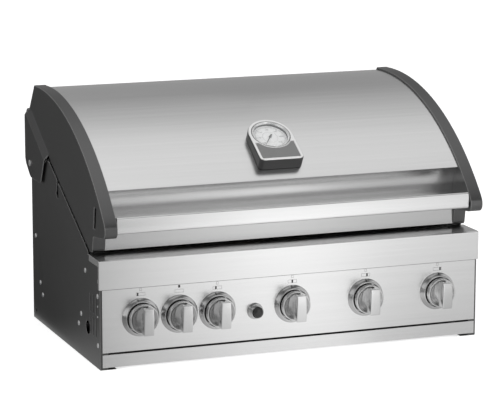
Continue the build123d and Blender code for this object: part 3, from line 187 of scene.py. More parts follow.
class Finish(Nodes):
    """A material: its Principled shader's constants, and the nodes that vary it."""

    def __init__(self, name, **constants):
        self.material = bpy.data.materials.new(name)
        self.material.use_nodes = True
        super().__init__(self.material.node_tree)
        self.shader = self.tree.nodes["Principled BSDF"]
        for socket, value in constants.items():
            self.shader.inputs[socket.replace("_", " ")].default_value = value

    def place(self, scale=(1.0, 1.0, 1.0)):
        """Object coordinates, stretched for one pattern."""
        where = self.node("ShaderNodeTexCoord", output="Object")
        return self.node("ShaderNodeMapping", {}, {"Vector": where, "Scale": scale})

    def noise(self, scale, vector, detail=2.0, roughness=0.5):
        """Cloudy noise between 0 and 1."""
        return self.node("ShaderNodeTexNoise", {}, {"Vector": vector, "Scale": scale, "Detail": detail,
                                                    "Roughness": roughness})

    def feed(self, socket, value):
        """Lets a value drive one of the shader's inputs."""
        self.tree.links.new(value.socket, self.shader.inputs[socket])

    def bump(self, height, distance, strength):
        """Small relief from a height."""
        self.feed("Normal", self.node("ShaderNodeBump", {}, {"Height": height, "Distance": distance,
                                                            "Strength": strength}))


def grey(level):
    """A neutral colour that shows as this level out of 255."""
    share = level / 255
    linear = ((share + 0.055) / 1.055) ** 2.4 if share > 0.04 else share / 12.92
    return (linear, linear, linear, 1.0)


def brushed_steel(name, level, roughness, painted_shade_band=None):
    """Stainless sheet with fine streaks from side to side, and painted shade: a band that is darker between
    two heights.
    """
    finish = Finish(name, Metallic=1.0, Anisotropic=0.35)
    streaks = finish.noise(1.0, finish.place((6.0, 900.0, 900.0)), 3.0, 0.6)
    bands = finish.noise(1.0, finish.place((1.5, 160.0, 160.0)), 2.0, 0.5)
    smudges = finish.noise(5.0, finish.place(), 3.0, 0.5)
    mixed = streaks * 0.55 + bands * 0.45
    colour = finish.blend(mixed, grey(level - 9), grey(level + 9))
    # Painted shade: between two heights the colour is darkened towards a given grey.
    if painted_shade_band:
        low, high, soft, shade = painted_shade_band
        z = finish.split(finish.place())[2]
        shade_mask = z.above(low, soft) - z.above(high, soft)
        colour = finish.blend(shade_mask * (mixed * 0.2 + 0.9), colour, grey(shade))
    finish.feed("Base Color", colour)
    finish.feed("Roughness", mixed * 0.08 + smudges * 0.05 + (roughness - 0.065))
    finish.bump(streaks, 0.00002, 0.25)
    return finish.material


def powder_coat(name, level, roughness):
    """Black powder paint: a fine pebbled film, duller where hands and dust reach."""
    finish = Finish(name, Specular_IOR_Level=1.0, IOR=1.7)
    pebbles = finish.noise(1400.0, finish.place(), 2.0, 0.5)
    dust = finish.noise(9.0, finish.place(), 4.0, 0.6)
    finish.feed("Base Color", finish.blend(dust, grey(level - 4), grey(level + 6)))
    finish.feed("Roughness", dust * 0.12 + pebbles * 0.06 + (roughness - 0.09))
    finish.bump(pebbles, 0.00006, 0.5)
    return finish.material


def plain_metal(name, level, roughness, tint=(1.0, 1.0, 1.0), grain=60.0, spread=8):
    """Metal with a soft mottling, for chrome, brass, aluminium and plain steel."""
    finish = Finish(name, Metallic=1.0)
    mottle = finish.noise(grain, finish.place(), 3.0, 0.55)
    low, high = grey(level - spread), grey(level + spread)
    dark = [c * t for c, t in zip(low, tint)] + [1.0]
    light = [c * t for c, t in zip(high, tint)] + [1.0]
    finish.feed("Base Color", finish.blend(mottle, dark, light))
    finish.feed("Roughness", mottle * 0.06 + (roughness - 0.03))
    return finish.material


def galvanised(name, level, roughness):
    """Zinc-coated sheet with its broad flat crystals."""
    finish = Finish(name, Metallic=1.0)
    crystals = finish.node("ShaderNodeTexVoronoi", {"distance": "CHEBYCHEV"},
                           {"Vector": finish.place(), "Scale": 90.0}, output=1)
    bright = finish.node("ShaderNodeRGBToBW", {}, {0: crystals})
    finish.feed("Base Color", finish.blend(bright, grey(level - 12), grey(level + 10)))
    finish.feed("Roughness", bright * 0.14 + (roughness - 0.07))
    return finish.material


def flat_paint(name, level, roughness):
    """Printed or sprayed paint with a slight unevenness."""
    finish = Finish(name, Specular_IOR_Level=0.4)
    uneven = finish.noise(120.0, finish.place(), 3.0, 0.5)
    finish.feed("Base Color", finish.blend(uneven, grey(level - 4), grey(level + 4)))
    finish.feed("Roughness", uneven * 0.06 + (roughness - 0.03))
    return finish.material


def moulded_plastic(name, level, roughness):
    """Dark moulded plastic with a faint grain."""
    finish = Finish(name, Specular_IOR_Level=0.5)
    grain = finish.noise(700.0, finish.place(), 2.0, 0.5)
    finish.feed("Base Color", finish.blend(grain, grey(level - 3), grey(level + 3)))
    finish.feed("Roughness", grain * 0.08 + (roughness - 0.04))
    finish.bump(grain, 0.00003, 0.4)
    return finish.material


def enamel(name, level, roughness):
    """Glassy black enamel over cast iron, slightly lumpy."""
    finish = Finish(name, Coat_Weight=0.3, Coat_Roughness=0.25)
    lumps = finish.noise(260.0, finish.place(), 3.0, 0.6)
    finish.feed("Base Color", finish.blend(lumps, grey(level - 6), grey(level + 6)))
    finish.feed("Roughness", lumps * 0.15 + (roughness - 0.07))
    finish.bump(lumps, 0.0002, 0.5)
    return finish.material


def fired_clay(name):
    """Pale porous ceramic."""
    finish = Finish(name)
    pores = finish.noise(500.0, finish.place(), 4.0, 0.6)
    finish.feed("Base Color", finish.blend(pores, (0.55, 0.47, 0.36, 1.0), (0.78, 0.71, 0.60, 1.0)))
    finish.feed("Roughness", pores * 0.1 + 0.8)
    finish.bump(pores, 0.0002, 0.4)
    return finish.material


def glass(name):
    """Thin clear glass that lets most light straight through."""
    finish = Finish(name, Base_Color=(0.9, 0.92, 0.93, 1.0), Roughness=0.02, IOR=1.45, Specular_IOR_Level=0.6)
    smears = finish.noise(40.0, finish.place(), 2.0, 0.5)
    finish.feed("Alpha", smears * 0.03 + 0.06)
    return finish.material


def paint(piece, *materials):
    """Gives a piece these finishes in place of its own."""
    piece.data.materials.clear()
    for material in materials:
        piece.data.materials.append(material)


def dress(material, *names):
    """Gives the pieces that show for these nodes a finish."""
    for name in names:
        paint(SHOWN[name], material)


def choose(piece):
    """Makes one object the only selected one."""
    bpy.ops.object.select_all(action="DESELECT")
    piece.select_set(True)
    bpy.context.view_layer.objects.active = piece


def set_down(piece, name, body, stands_for=()):
    """Names a finished piece, puts its place in its mesh, and lets it ride on its body."""
    choose(piece)
    bpy.ops.object.transform_apply(location=True, rotation=True, scale=True)
    piece.name = name
    piece.data.name = name
    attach(piece, body)
    if stands_for:
        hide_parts(*stands_for)
        for node in stands_for:
            SHOWN[node] = piece
    return piece


def break_edges(node, width, segments=2, paints=()):
    """A sheet or moulding with its sharp edges broken, in place of the plain one.

    A second paint shows on the broken edges. Where short edges meet, the bevel throws a point off the piece,
    and that point goes back on its surface.
    """
    piece = bpy.data.objects.new(node + "_finished", NODES[node].data.copy())
    bpy.context.scene.collection.objects.link(piece)
    choose(piece)
    bpy.ops.object.mode_set(mode="EDIT")
    bpy.ops.mesh.select_all(action="SELECT")
    bpy.ops.mesh.remove_doubles(threshold=WELD)
    bpy.ops.mesh.dissolve_limited(angle_limit=math.radians(0.6))
    bpy.ops.object.mode_set(mode="OBJECT")
    sharp = BVHTree.FromPolygons([v.co.copy() for v in piece.data.vertices],
                                 [list(face.vertices) for face in piece.data.polygons])
    edges = piece.modifiers.new("broken_edges", "BEVEL")
    edges.width = width * MM
    edges.segments = segments
    if paints:
        paint(piece, *paints)
        edges.material = 1
    edges.use_clamp_overlap = False
    edges.limit_method = "ANGLE"
    edges.angle_limit = math.radians(28.0)
    bpy.ops.object.modifier_apply(modifier="broken_edges")
    for vertex in piece.data.vertices:
        nearest, _, _, away = sharp.find_nearest(vertex.co)
        if away > width * MM:
            vertex.co = nearest
    bpy.ops.object.shade_smooth_by_angle(angle=math.radians(50.0))
    shade = piece.modifiers.new("even_shade", "WEIGHTED_NORMAL")
    shade.weight = 100
    shade.keep_sharp = True
    bpy.ops.object.modifier_apply(modifier="even_shade")
    set_down(piece, node + "_finished", BODY_OF[node], (node,))


def draw_line(points):
    """A line of edges through points, in a new piece that is left in edit mode, all selected."""
    bpy.ops.object.select_all(action="DESELECT")
    bpy.ops.mesh.primitive_plane_add(size=MM, location=points[0])
    piece = bpy.context.object
    bpy.ops.object.mode_set(mode="EDIT")
    bpy.ops.mesh.merge(type="CENTER")
    for before, after in zip(points, points[1:]):
        bpy.ops.mesh.extrude_region_move(TRANSFORM_OT_translate={"value": after - before})
    bpy.ops.mesh.select_all(action="SELECT")
    return piece


def turn_on_lathe(centre, axis, across, profile, steps=80):
    """A closed ring turned about an axis, from a profile of radii and heights in millimetres."""
    piece = draw_line([centre + across * (radius * MM) + axis * (height * MM) for radius, height in profile])
    bpy.ops.mesh.spin(steps=steps, angle=math.tau, center=centre, axis=axis)
    bpy.ops.mesh.select_all(action="SELECT")
    bpy.ops.mesh.remove_doubles(threshold=WELD)
    bpy.ops.mesh.normals_make_consistent(inside=False)
    bpy.ops.object.mode_set(mode="OBJECT")
    bpy.ops.object.shade_smooth_by_angle(angle=math.radians(40.0))
    return piece


def join_up(pieces):
    """One object from several."""
    bpy.ops.object.select_all(action="DESELECT")
    for piece in pieces:
        piece.select_set(True)
    bpy.context.view_layer.objects.active = pieces[0]
    bpy.ops.object.join()
    return bpy.context.view_layer.objects.active


def copy_to(piece, shift):
    """A copy with a mesh of its own, moved by a shift."""
    twin = bpy.data.objects.new(piece.name, piece.data.copy())
    twin.location = piece.location + Vector(shift)
    bpy.context.scene.collection.objects.link(twin)
    return twin


def along_the_row(first):
    """The first knob's piece, and a copy of it at each other knob."""
    return [first] + [copy_to(first, (x - KNOB_XS[0], 0.0, 0.0)) for x in KNOB_XS[1:]]


def pick(piece, wanted):
    """Selects only the wanted vertices of the piece in edit mode."""
    bpy.ops.object.mode_set(mode="OBJECT")
    for part in (piece.data.polygons, piece.data.edges, piece.data.vertices):
        part.foreach_set("select", [False] * len(part))
    for number in wanted:
        piece.data.vertices[number].select = True
    bpy.ops.object.mode_set(mode="EDIT")


def make_grip():
    """The first knob's grip: hollow sides that flare into the disc, and a bowed front."""
    foot, face, half_height = 18.5, 53.0, 26.7
    middle = KNOB_Z + 0.5 * MM
    # Half the grip's thickness, at depths from the disc to the front
    side = [(8.4, foot), (8.1, 20.5), (8.1, 25.0), (8.2, 30.0), (7.7, 33.5), (6.8, 37.0), (6.5, 41.5),
            (7.2, 45.5), (9.2, 49.0), (10.2, 50.7), (10.3, 51.8), (9.8, 52.8), (8.9, face)]
    # At shares of the half height: how far the front drops back, and how the grip narrows
    half_rows = [(0.0, 0.0, 1.0), (0.4, 0.3, 1.0), (0.75, 1.0, 1.0), (0.955, 1.8, 0.99), (0.99, 2.6, 0.975),
                 (1.0, 3.6, 0.94)]
    rows = [(-share, drop, narrow) for share, drop, narrow in reversed(half_rows[1:])] + half_rows
    heights = [middle + share * half_height * MM for share, _, _ in rows]
    outline = side + [(-across, depth) for across, depth in reversed(side)]
    grip = draw_line([Vector((KNOB_XS[0] + across * MM, PANEL_Y - depth * MM, heights[0]))
                      for across, depth in outline])
    bpy.ops.mesh.edge_face_add()
    for low, high in zip(heights, heights[1:]):
        bpy.ops.mesh.extrude_region_move(TRANSFORM_OT_translate={"value": (0.0, 0.0, high - low)})
    bpy.ops.object.mode_set(mode="OBJECT")
    places = [grip.location + vertex.co for vertex in grip.data.vertices]
    pivot = (KNOB_XS[0], PANEL_Y - foot * MM, middle)

    def stretch(row, depth, value):
        """Scales the corners of one row, of one depth, or of one row at one depth."""
        pick(grip, [number for number, place in enumerate(places)
                    if (row is None or abs(place.z - heights[row]) < 0.01 * MM)
                    and (depth is None or abs(PANEL_Y - depth * MM - place.y) < 0.1 * MM)])
        bpy.ops.transform.resize(value=value, center_override=pivot)

    flare_width, flare_end = 9.0, 33.0
    for across, depth in side[:5]:
        flare = flare_width * max(0.0, (flare_end - depth) / (flare_end - foot)) ** 1.4
        for row, (share, _, _) in enumerate(rows):
            stretch(row, depth, (1.0 + flare * (1.0 - share ** 4) / across, 1.0, 1.0))
        stretch(None, depth, (1.0, 1.0, min(1.0, 0.78 + 0.0157 * (depth - foot))))
    for row, (_, drop, narrow) in enumerate(rows):
        stretch(row, None, (narrow, 1.0 - drop / (face - foot), 1.0))
    bpy.ops.mesh.select_all(action="SELECT")
    bpy.ops.mesh.normals_make_consistent(inside=False)
    bpy.ops.object.mode_set(mode="OBJECT")
    rounded = grip.modifiers.new("rounded", "SUBSURF")
    rounded.levels = rounded.render_levels = 2
    bpy.ops.object.modifier_apply(modifier="rounded")
    bpy.ops.object.shade_smooth_by_angle(angle=math.radians(50.0))
    return grip


def make_knobs():
    """Six knobs, each a dished disc with its grip, on its own body."""
    disc = [(0.0, 12.0), (29.3, 12.0), (29.3, 23.6), (28.9, 24.5), (28.2, 25.0), (27.2, 25.0), (26.2, 24.4),
            (24.0, 21.6), (22.4, 19.9), (20.0, 19.1), (0.0, 19.0), (0.0, 12.0)]
    plate = turn_on_lathe(FIRST_KNOB, OUT, RIGHT, disc, 72)
    knobs = along_the_row(join_up([plate, make_grip()]))
    for number, knob in enumerate(knobs, 1):
        set_down(knob, f"knob_{number}_turned", f"knob_{number}", (f"knob_{number}",))


def make_bezels():
    """Six flared rings with a rolled lip, round the knobs."""
    profile = [(9.0, 0.0), (38.0, 0.0), (38.0, 0.7), (37.6, 1.3), (36.7, 2.6), (35.8, 4.4), (35.0, 6.6),
               (34.3, 8.8), (33.8, 10.6), (33.4, 11.7), (32.8, 12.35), (32.0, 12.5), (31.3, 12.3),
               (30.8, 11.7), (30.6, 10.8), (30.6, 2.4), (30.2, 2.0), (9.0, 2.0), (9.0, 0.0)]
    rings = along_the_row(turn_on_lathe(FIRST_KNOB, OUT, RIGHT, profile, 96))
    set_down(join_up(rings), "knob_bezels_turned", "grill_body", ("knob_bezels",))


def make_igniter():
    """The stepped ring and the domed button of the igniter."""
    ring = [(10.6, 0.0), (16.5, 0.0), (16.5, 0.9), (16.1, 2.0), (15.4, 4.4), (14.9, 7.0), (14.5, 7.8),
            (13.7, 8.0), (13.4, 8.6), (13.1, 11.0), (12.7, 14.4), (12.3, 15.6), (11.6, 16.0), (10.9, 15.7),
            (10.6, 15.0), (10.6, 0.0)]
    button = [(0.0, 21.0), (2.6, 20.92), (5.2, 20.6), (7.4, 19.9), (9.0, 18.9), (9.9, 17.6), (10.25, 16.0),
              (10.3, 14.0), (10.3, 6.0), (5.0, 6.0), (5.0, -3.2), (0.0, -3.2)]
    set_down(turn_on_lathe(IGNITER, OUT, RIGHT, ring), "igniter_ring_turned", "grill_body",
             ("igniter_bezel",))
    set_down(turn_on_lathe(IGNITER, OUT, RIGHT, button), "igniter_button_turned", "igniter_push",
             ("igniter_button",))


def make_gauge_ring():
    """The thermometer's ring: a rounded bead, and the wall that holds the lens and the dial."""
    profile = [(36.5, -12.8), (36.5, -8.0), (35.3, -8.0), (35.3, -2.9), (36.5, -2.9), (36.5, -1.3),
               (36.6, -0.6), (36.9, 0.1), (37.4, 0.6), (37.9, 0.7), (38.4, 0.5), (38.8, 0.0), (39.05, -0.7),
               (39.1, -1.5), (39.1, -12.8), (36.5, -12.8)]
    ring = turn_on_lathe(GAUGE_PLACE, GAUGE_OUT, RIGHT, profile, 96)
    set_down(ring, "gauge_ring_turned", "lid", ("gauge_ring",))


def print_cell(x, z, width, height, line=0.0):
    """One printed cell on the panel, in the mesh being edited: filled, or only a line round it."""
    upright = (math.radians(90.0), 0.0, 0.0)
    bpy.ops.mesh.primitive_plane_add(size=MM, location=(x, PANEL_Y, z), rotation=upright)
    bpy.ops.transform.resize(value=(width, 1.0, height), center_override=(x, PANEL_Y, z))
    if line:
        bpy.ops.mesh.inset(thickness=line * MM)
        bpy.ops.mesh.delete(type="FACE")


def raise_print(thickness, way):
    """Gives flat print a little thickness, once all of it is in the mesh being edited."""
    bpy.ops.mesh.select_all(action="SELECT")
    bpy.ops.mesh.extrude_region_move(TRANSFORM_OT_translate={"value": way * (thickness * MM)})
    bpy.ops.mesh.select_all(action="SELECT")
    bpy.ops.mesh.normals_make_consistent(inside=False)
    bpy.ops.object.mode_set(mode="OBJECT")


def start_print():
    """An empty mesh, ready to be printed on in edit mode."""
    piece = bpy.data.objects.new("print", bpy.data.meshes.new("print"))
    bpy.context.scene.collection.objects.link(piece)
    choose(piece)
    bpy.ops.object.mode_set(mode="EDIT")
    return piece


def print_panel(fill_paint, line_paint):
    """The plain burner marks over the knobs: a row of cells, where the knob's own burner is filled in.

    The second knob serves the rear burner, whose small cell stands over the others.
    """
    cells = [-2, None, -1, 0, 1, 2]
    line, thickness = 0.45, 0.04
    piece = start_print()
    for x, cell in zip(KNOB_XS, cells):
        if cell is None:
            print_cell(x, SMALL_MARK_Z, 4.2, 5.4)
        else:
            print_cell(x + cell * MARK_PITCH, MARK_Z, 3.4, 6.0)
    raise_print(thickness, OUT)
    paint(set_down(piece, "burner_marks_filled", "grill_body"), fill_paint)
    piece = start_print()
    for x, cell in zip(KNOB_XS, cells):
        print_cell(x, MARK_Z, 18.6, 6.6, line)
        if cell is not None:
            print_cell(x, SMALL_MARK_Z, 4.6, 5.4, line)
    raise_print(thickness, OUT)
    paint(set_down(piece, "burner_marks_lines", "grill_body"), line_paint)


def dial_point(radius, angle, depth):
    """A point over the dial: radius in millimetres, angle anticlockwise from its top."""
    turn = math.radians(angle)
    way = GAUGE_UP * math.cos(turn) - RIGHT * math.sin(turn)
    return GAUGE_PLACE - GAUGE_OUT * (DIAL_DEPTH - depth * MM) + way * (radius * MM)


def flat_ring(low, high, thickness):
    """The profile of a thin flat ring between two radii."""
    return [(low, 0.0), (high, 0.0), (high, thickness), (low, thickness), (low, 0.0)]


def print_dial(line_paint):
    """The scale of the thermometer: fine and bold ticks, plain numbers and two thin rings."""
    lift, sweep = 0.02, 135.0
    number_radius, number_size = 23.0, 5.2
    centre = dial_point(0.0, 0.0, lift)
    pieces = []
    # Width, length, radius, and the steps to each side, of the fine ticks and of the bold ones
    for width, length, radius, steps in ((0.35, 2.0, 29.3, 13), (0.8, 3.4, 28.6, 3)):
        piece = start_print()
        top = dial_point(radius, 0.0, lift)
        for side in (-1.0, 1.0):
            bpy.ops.mesh.select_all(action="DESELECT")
            bpy.ops.mesh.primitive_plane_add(size=MM, location=top)
            bpy.ops.transform.resize(value=(width, length, 1.0))
            bpy.ops.transform.rotate(value=-GAUGE_TILT, orient_axis="X", center_override=top)
            bpy.ops.mesh.spin(dupli=True, steps=steps, angle=side * math.radians(sweep), center=centre,
                              axis=GAUGE_OUT)
        bpy.ops.mesh.select_all(action="SELECT")
        bpy.ops.mesh.remove_doubles(threshold=WELD)
        raise_print(0.03, GAUGE_OUT)
        pieces.append(piece)
    for number in range(7):
        place = dial_point(number_radius, sweep - number * sweep / 3, lift)
        bpy.ops.object.text_add(location=place, rotation=(GAUGE_TILT, 0.0, 0.0))
        words = bpy.context.object
        words.data.body = str(50 * (number + 1))
        words.data.size = number_size * MM
        words.data.extrude = 0.02 * MM
        words.data.align_x = "CENTER"
        words.data.align_y = "CENTER"
        bpy.ops.object.convert(target="MESH")
        pieces.append(bpy.context.object)
    paint(set_down(join_up(pieces), "dial_scale", "lid"), line_paint)
    rings = [turn_on_lathe(centre, GAUGE_OUT, RIGHT, flat_ring(low, high, 0.04))
             for low, high in ((30.6, 31.0), (15.6, 16.0))]
    paint(set_down(join_up(rings), "dial_rings", "lid"), line_paint)


def line_gauge(dark_paint):
    """The dark joint round the thermometer's ring, and painted shade on the wall inside it."""
    joint = turn_on_lathe(GAUGE_PLACE, GAUGE_OUT, RIGHT, flat_ring(39.1, 40.1, 0.05), 96)
    paint(set_down(joint, "ring_joint", "lid"), dark_paint)
    lens_foot = 2.8 * MM
    ring = SHOWN["gauge_ring"]
    # Painted shade: the deep, inward-facing faces of the ring's wall take the dark paint, in place of shade
    # inside the recess.
    ring.data.materials.append(dark_paint)
    for face in ring.data.polygons:
        outward = face.center - GAUGE_PLACE
        deep = outward.dot(GAUGE_OUT) < -lens_foot
        if deep and abs(face.normal.dot(GAUGE_OUT)) < 0.3 and face.normal.dot(outward) < 0.0:
            face.material_index = 1


def make_screws():
    """Pan-head screws with a cross recess, and the small rivets, in both side panels."""
    # The row by the front edge, the line that is mirrored across, and the slanted row with its offset
    edge_y, middle_y = -0.205, 0.048
    slant_y, slant_z, slope, aside = -0.134, 0.150, 66.0 / 92.0, 0.008
    heads = [(slant_y + aside, 0.179)]
    heads += [(slant_y + (slant_z - z) * slope - aside, z) for z in (0.0855, 0.0625)]
    heads += [(2 * middle_y - y, z) for y, z in heads]
    heads += [(edge_y, z) for z in (0.144, 0.0466)]
    rivets = [(edge_y, z) for z in (0.1238, 0.1033)]
    dome = [(0.0, 1.8), (1.6, 1.76), (3.0, 1.5), (4.1, 1.05), (4.8, 0.5), (5.0, 0.0), (2.4, 0.0), (2.4, -8.0),
            (0.0, -8.0)]
    button = [(0.0, 0.9), (1.0, 0.82), (1.7, 0.5), (2.0, 0.0), (1.0, 0.0), (1.0, -2.4), (0.0, -2.4)]
    arm_width, arm_length = 1.0, 4.6
    cutter_height, cutter_middle = 2.2, 1.7
    pieces = []
    for side in (-1.0, 1.0):
        way = RIGHT * side
        face = Vector((PANEL_HALF_WIDTH * side, heads[0][0], heads[0][1]))
        screw = turn_on_lathe(face, way, UP, dome, 32)
        for width, height in ((arm_width, arm_length), (arm_length, arm_width)):
            bpy.ops.mesh.primitive_cube_add(size=MM, location=face + way * (cutter_middle * MM))
            slot = bpy.context.object
            slot.scale = (cutter_height, width, height)
            cut = screw.modifiers.new("recess", "BOOLEAN")
            cut.operation = "DIFFERENCE"
            cut.object = slot
            choose(screw)
            bpy.ops.object.modifier_apply(modifier="recess")
            choose(slot)
            bpy.ops.object.delete()
        pieces.append(screw)
        pieces += [copy_to(screw, (0.0, y - heads[0][0], z - heads[0][1])) for y, z in heads[1:]]
        face = Vector((PANEL_HALF_WIDTH * side, rivets[0][0], rivets[0][1]))
        rivet = turn_on_lathe(face, way, UP, button, 24)
        pieces += [rivet, copy_to(rivet, (0.0, 0.0, rivets[1][1] - rivets[0][1]))]
    set_down(join_up(pieces), "side_screws_turned", "grill_body", ("side_screws",))


def fill_gauge_field(grey_paint):
    """The sunk field of the gauge plate, painted dark grey."""
    field_depth = 0.6 * MM
    plate = SHOWN["gauge_plate"]
    plate.data.materials.append(grey_paint)
    for face in plate.data.polygons:
        depth = -(face.center - GAUGE_PLACE).dot(GAUGE_OUT)
        if abs(depth - field_depth) < 0.15 * MM and face.normal.dot(GAUGE_OUT) > 0.99:
            face.material_index = 1


def make_camera():
    """The photograph's view."""
    data = bpy.data.cameras.new("camera")
    data.sensor_width = 36.0
    data.lens = CAMERA_LENS
    data.clip_end = 60.0
    camera = bpy.data.objects.new("camera", data)
    bpy.context.scene.collection.objects.link(camera)
    turn, rise, roll = (math.radians(a) for a in (CAMERA_TURN, CAMERA_RISE, CAMERA_ROLL))
    back = Vector((-math.sin(turn) * math.cos(rise), -math.cos(turn) * math.cos(rise), math.sin(rise)))
    level = Vector((math.cos(turn), -math.sin(turn), 0.0))
    up = back.cross(level)
    right = level * math.cos(roll) + up * math.sin(roll)
    up = back.cross(right)
    camera.matrix_world = Matrix.Translation(CAMERA_EYE) @ Matrix((right, up, back)).transposed().to_4x4()
    bpy.context.scene.camera = camera


def make_surround():
    """Soft light all round: pale at eye level, dim above it in front, and white where the camera looks."""
    world = bpy.data.worlds.new("surround")
    bpy.context.scene.world = world
    world.use_nodes = True
    nodes = Nodes(world.node_tree)
    _, y, z = nodes.split(nodes.node("ShaderNodeTexCoord", output="Generated"))
    height = z * 0.5 + 0.5
    behind = nodes.shades(height, BEHIND_LIGHT, "EASE")
    front = nodes.shades(height, FRONT_LIGHT, "EASE")
    around = nodes.blend(nodes.shades(y * 0.5 + 0.5, FRONT_SHARE, "EASE"), behind, front)
    light = nodes.blend(nodes.ray("Is Camera Ray"), around, WHITE)
    nodes.tree.links.new(light.socket, nodes.tree.nodes["Background"].inputs["Color"])


def make_floor():
    """A white floor that shows metal a pool of light in front of the grill, and a shaded place beside it."""
    width, below, glow = 14.0, 0.0005, 0.62
    bpy.ops.mesh.primitive_plane_add(size=width, location=(0.0, 0.0, -below))
    floor = bpy.context.object
    floor.name = "floor"
    finish = Finish("floor_white", Roughness=0.9)
    x, y, _ = finish.split(finish.place())
    lean = x + y * LEAN
    along = finish.shades((POOL_BACK - y) * (1.0 / POOL_LENGTH), POOL_ALONG)
    pool = finish.shades(lean * 0.5 + 0.5, POOL_ACROSS) * along
    beside = (1.0 - x.above(SHADE_EDGE_X, 0.005)) * y.above(0.0, 0.25)
    pool = finish.blend(beside, pool, finish.shades(lean + 1.0, SIDE_SHADE))
    camera_ray, glossy_ray = finish.ray("Is Camera Ray"), finish.ray("Is Glossy Ray")
    finish.feed("Base Color", finish.blend(glossy_ray, (0.93, 0.93, 0.93, 1.0), (0.1, 0.1, 0.1, 1.0)))
    finish.feed("Emission Color", finish.blend(glossy_ray, WHITE, pool))
    finish.feed("Emission Strength", camera_ray * glow + glossy_ray)
    paint(floor, finish.material)


def make_front_card():
    """A tall soft light in front of the grill, seen only in its metal."""
    upright = (math.radians(90.0), 0.0, 0.0)
    bpy.ops.mesh.primitive_plane_add(size=1.0, location=(0.5, -2.2, 0.55), rotation=upright)
    card = bpy.context.object
    card.name = "front_card"
    card.scale = (6.0, 1.1, 1.0)
    bpy.ops.object.transform_apply(location=True, rotation=True, scale=True)
    finish = Finish("front_card_light", Base_Color=(0.0, 0.0, 0.0, 1.0), Roughness=1.0, Emission_Strength=1.0)
    x, y, z = finish.split(finish.place())
    across = finish.shades((x + y * LEAN) * 0.5 + 0.5, POOL_ACROSS)
    finish.feed("Emission Color", across * finish.shades(z, CARD_RISE))
    finish.feed("Alpha", finish.ray("Is Glossy Ray"))
    paint(card, finish.material)


def lamp(name, place, aim, size, power):
    """A soft lamp aimed at a place, which itself isn't seen in the metal."""
    data = bpy.data.lights.new(name, "AREA")
    data.shape = "RECTANGLE"
    data.size, data.size_y = size
    data.energy = power
    made = bpy.data.objects.new(name, data)
    bpy.context.scene.collection.objects.link(made)
    made.location = place
    made.rotation_mode = "QUATERNION"
    made.rotation_quaternion = (Vector(aim) - Vector(place)).to_track_quat("-Z", "Y")
    made.visible_glossy = False


# The view and the light
bpy.context.scene.view_settings.view_transform = "Standard"
make_camera()
make_surround()
make_floor()
make_front_card()
lamp("front_lamp", (0.9, -2.4, 2.2), (0.2, -0.6, 0.1), (2.2, 1.4), 30.0)
lamp("left_lamp", (-1.3, -1.3, 0.8), (-0.4, -0.1, 0.25), (0.7, 0.9), 7.0)

# The finishes
sheet_steel = brushed_steel("brushed_sheet", 232, 0.24)
# Painted shade on the lid's front panel: a darker copy of the sheet steel, and a darker band below the
# handle.
shaded_sheet_steel = brushed_steel("shaded_sheet", 226, 0.25, painted_shade_band=(0.2, 0.264, 0.002, 196))
# Painted shade on the control panel: a dark strip just under the ledge's lower edge.
panel_steel = brushed_steel("panel_sheet", 232, 0.24, painted_shade_band=(0.1582, 0.1632, 0.0005, 120))
black_paint = powder_coat("black_powder_coat", 17, 0.33)
# A lighter black for broken edges: a painted highlight along them.
edge_highlight_paint = powder_coat("black_powder_coat_edge_highlight", 88, 0.4)
zinc = galvanised("galvanised_sheet", 175, 0.45)
burner_metal = plain_metal("burner_steel", 185, 0.35)
screw_metal = plain_metal("screw_plating", 240, 0.4, spread=4)
chrome = plain_metal("chrome_plate", 198, 0.1, spread=3)
bright_chrome = plain_metal("bright_chrome", 249, 0.18, grain=200.0, spread=4)
satin_chrome = plain_metal("satin_chrome", 212, 0.2, grain=400.0, spread=5)
brass = plain_metal("valve_brass", 190, 0.35, tint=(1.0, 0.78, 0.42))
aluminium = plain_metal("pipe_aluminium", 205, 0.35)
iron = enamel("grate_enamel", 42, 0.5)
clay = fired_clay("fired_clay")
black_plastic = moulded_plastic("black_plastic", 44, 0.4)
gloss_plastic = moulded_plastic("gloss_black_plastic", 34, 0.25)
dial_paint = flat_paint("dial_paint", 226, 0.5)
needle_paint = flat_paint("needle_paint", 88, 0.4)
field_paint = flat_paint("field_paint", 118, 0.45)
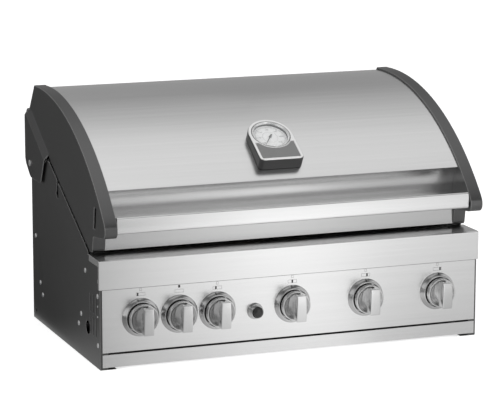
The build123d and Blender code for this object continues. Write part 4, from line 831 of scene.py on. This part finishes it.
# Dark print, also used as painted shade on the wall inside the gauge's ring.
dark_print_and_shade = flat_paint("dark_print_and_shade", 62, 0.5)
print_grey = flat_paint("print_grey", 96, 0.5)
clear = glass("lens_glass")

# The pieces with finer forms than the CAD, and the print
# The caps and side panels take the lighter black on their broken edges, as a painted highlight.
for node in ("left_end_cap", "right_end_cap"):
    break_edges(node, 1.1, 3, (black_paint, edge_highlight_paint))
for node in ("left_side_panel", "right_side_panel"):
    break_edges(node, 0.6, 2, (black_paint, edge_highlight_paint))
for node in ("front_ledge", "control_panel", "tray_front"):
    break_edges(node, 0.4)
break_edges("gauge_plate", 0.6)
break_edges("gauge_housing", 1.6, 3)
make_knobs()
make_bezels()
make_igniter()
make_gauge_ring()
make_screws()
print_panel(dark_print_and_shade, print_grey)
print_dial(print_grey)

# What each piece wears. The caps and side panels have their two paints already.
dress(sheet_steel, "front_ledge", "tray_front", "lid_skin", "lid_handle")
dress(panel_steel, "control_panel")
dress(shaded_sheet_steel, "lid_front_panel")
dress(zinc, "rear_panel", "firebox_front_wall", "firebox_rear_wall", "firebox_side_walls", "tray_runners",
      "drip_tray", "lid_back_panel", "lid_liner", "rear_burner_housing")
dress(burner_metal, "flame_tamers", "gas_manifold", "gauge_stem",
      *[f"main_burner_{i}" for i in range(1, 6)])
dress(screw_metal, "side_screws", "hinge_pins")
dress(iron, "left_cooking_grate", "centre_cooking_grate", "right_cooking_grate")
dress(chrome, "warming_rack", "knob_bezels", "igniter_bezel")
dress(bright_chrome, "gauge_plate", "gauge_ring")
dress(satin_chrome, *[f"knob_{i}" for i in range(1, 7)])
dress(brass, "gas_valves", *[f"valve_spindle_{i}" for i in range(1, 7)])
dress(aluminium, "rear_burner_pipe")
dress(black_plastic, "gauge_housing", "igniter_module")
dress(gloss_plastic, "igniter_button")
dress(clay, "rear_burner_tile", "ignition_electrodes")
dress(dial_paint, "gauge_dial")
dress(needle_paint, "gauge_needle")
dress(clear, "gauge_lens")
fill_gauge_field(field_paint)
line_gauge(dark_print_and_shade)
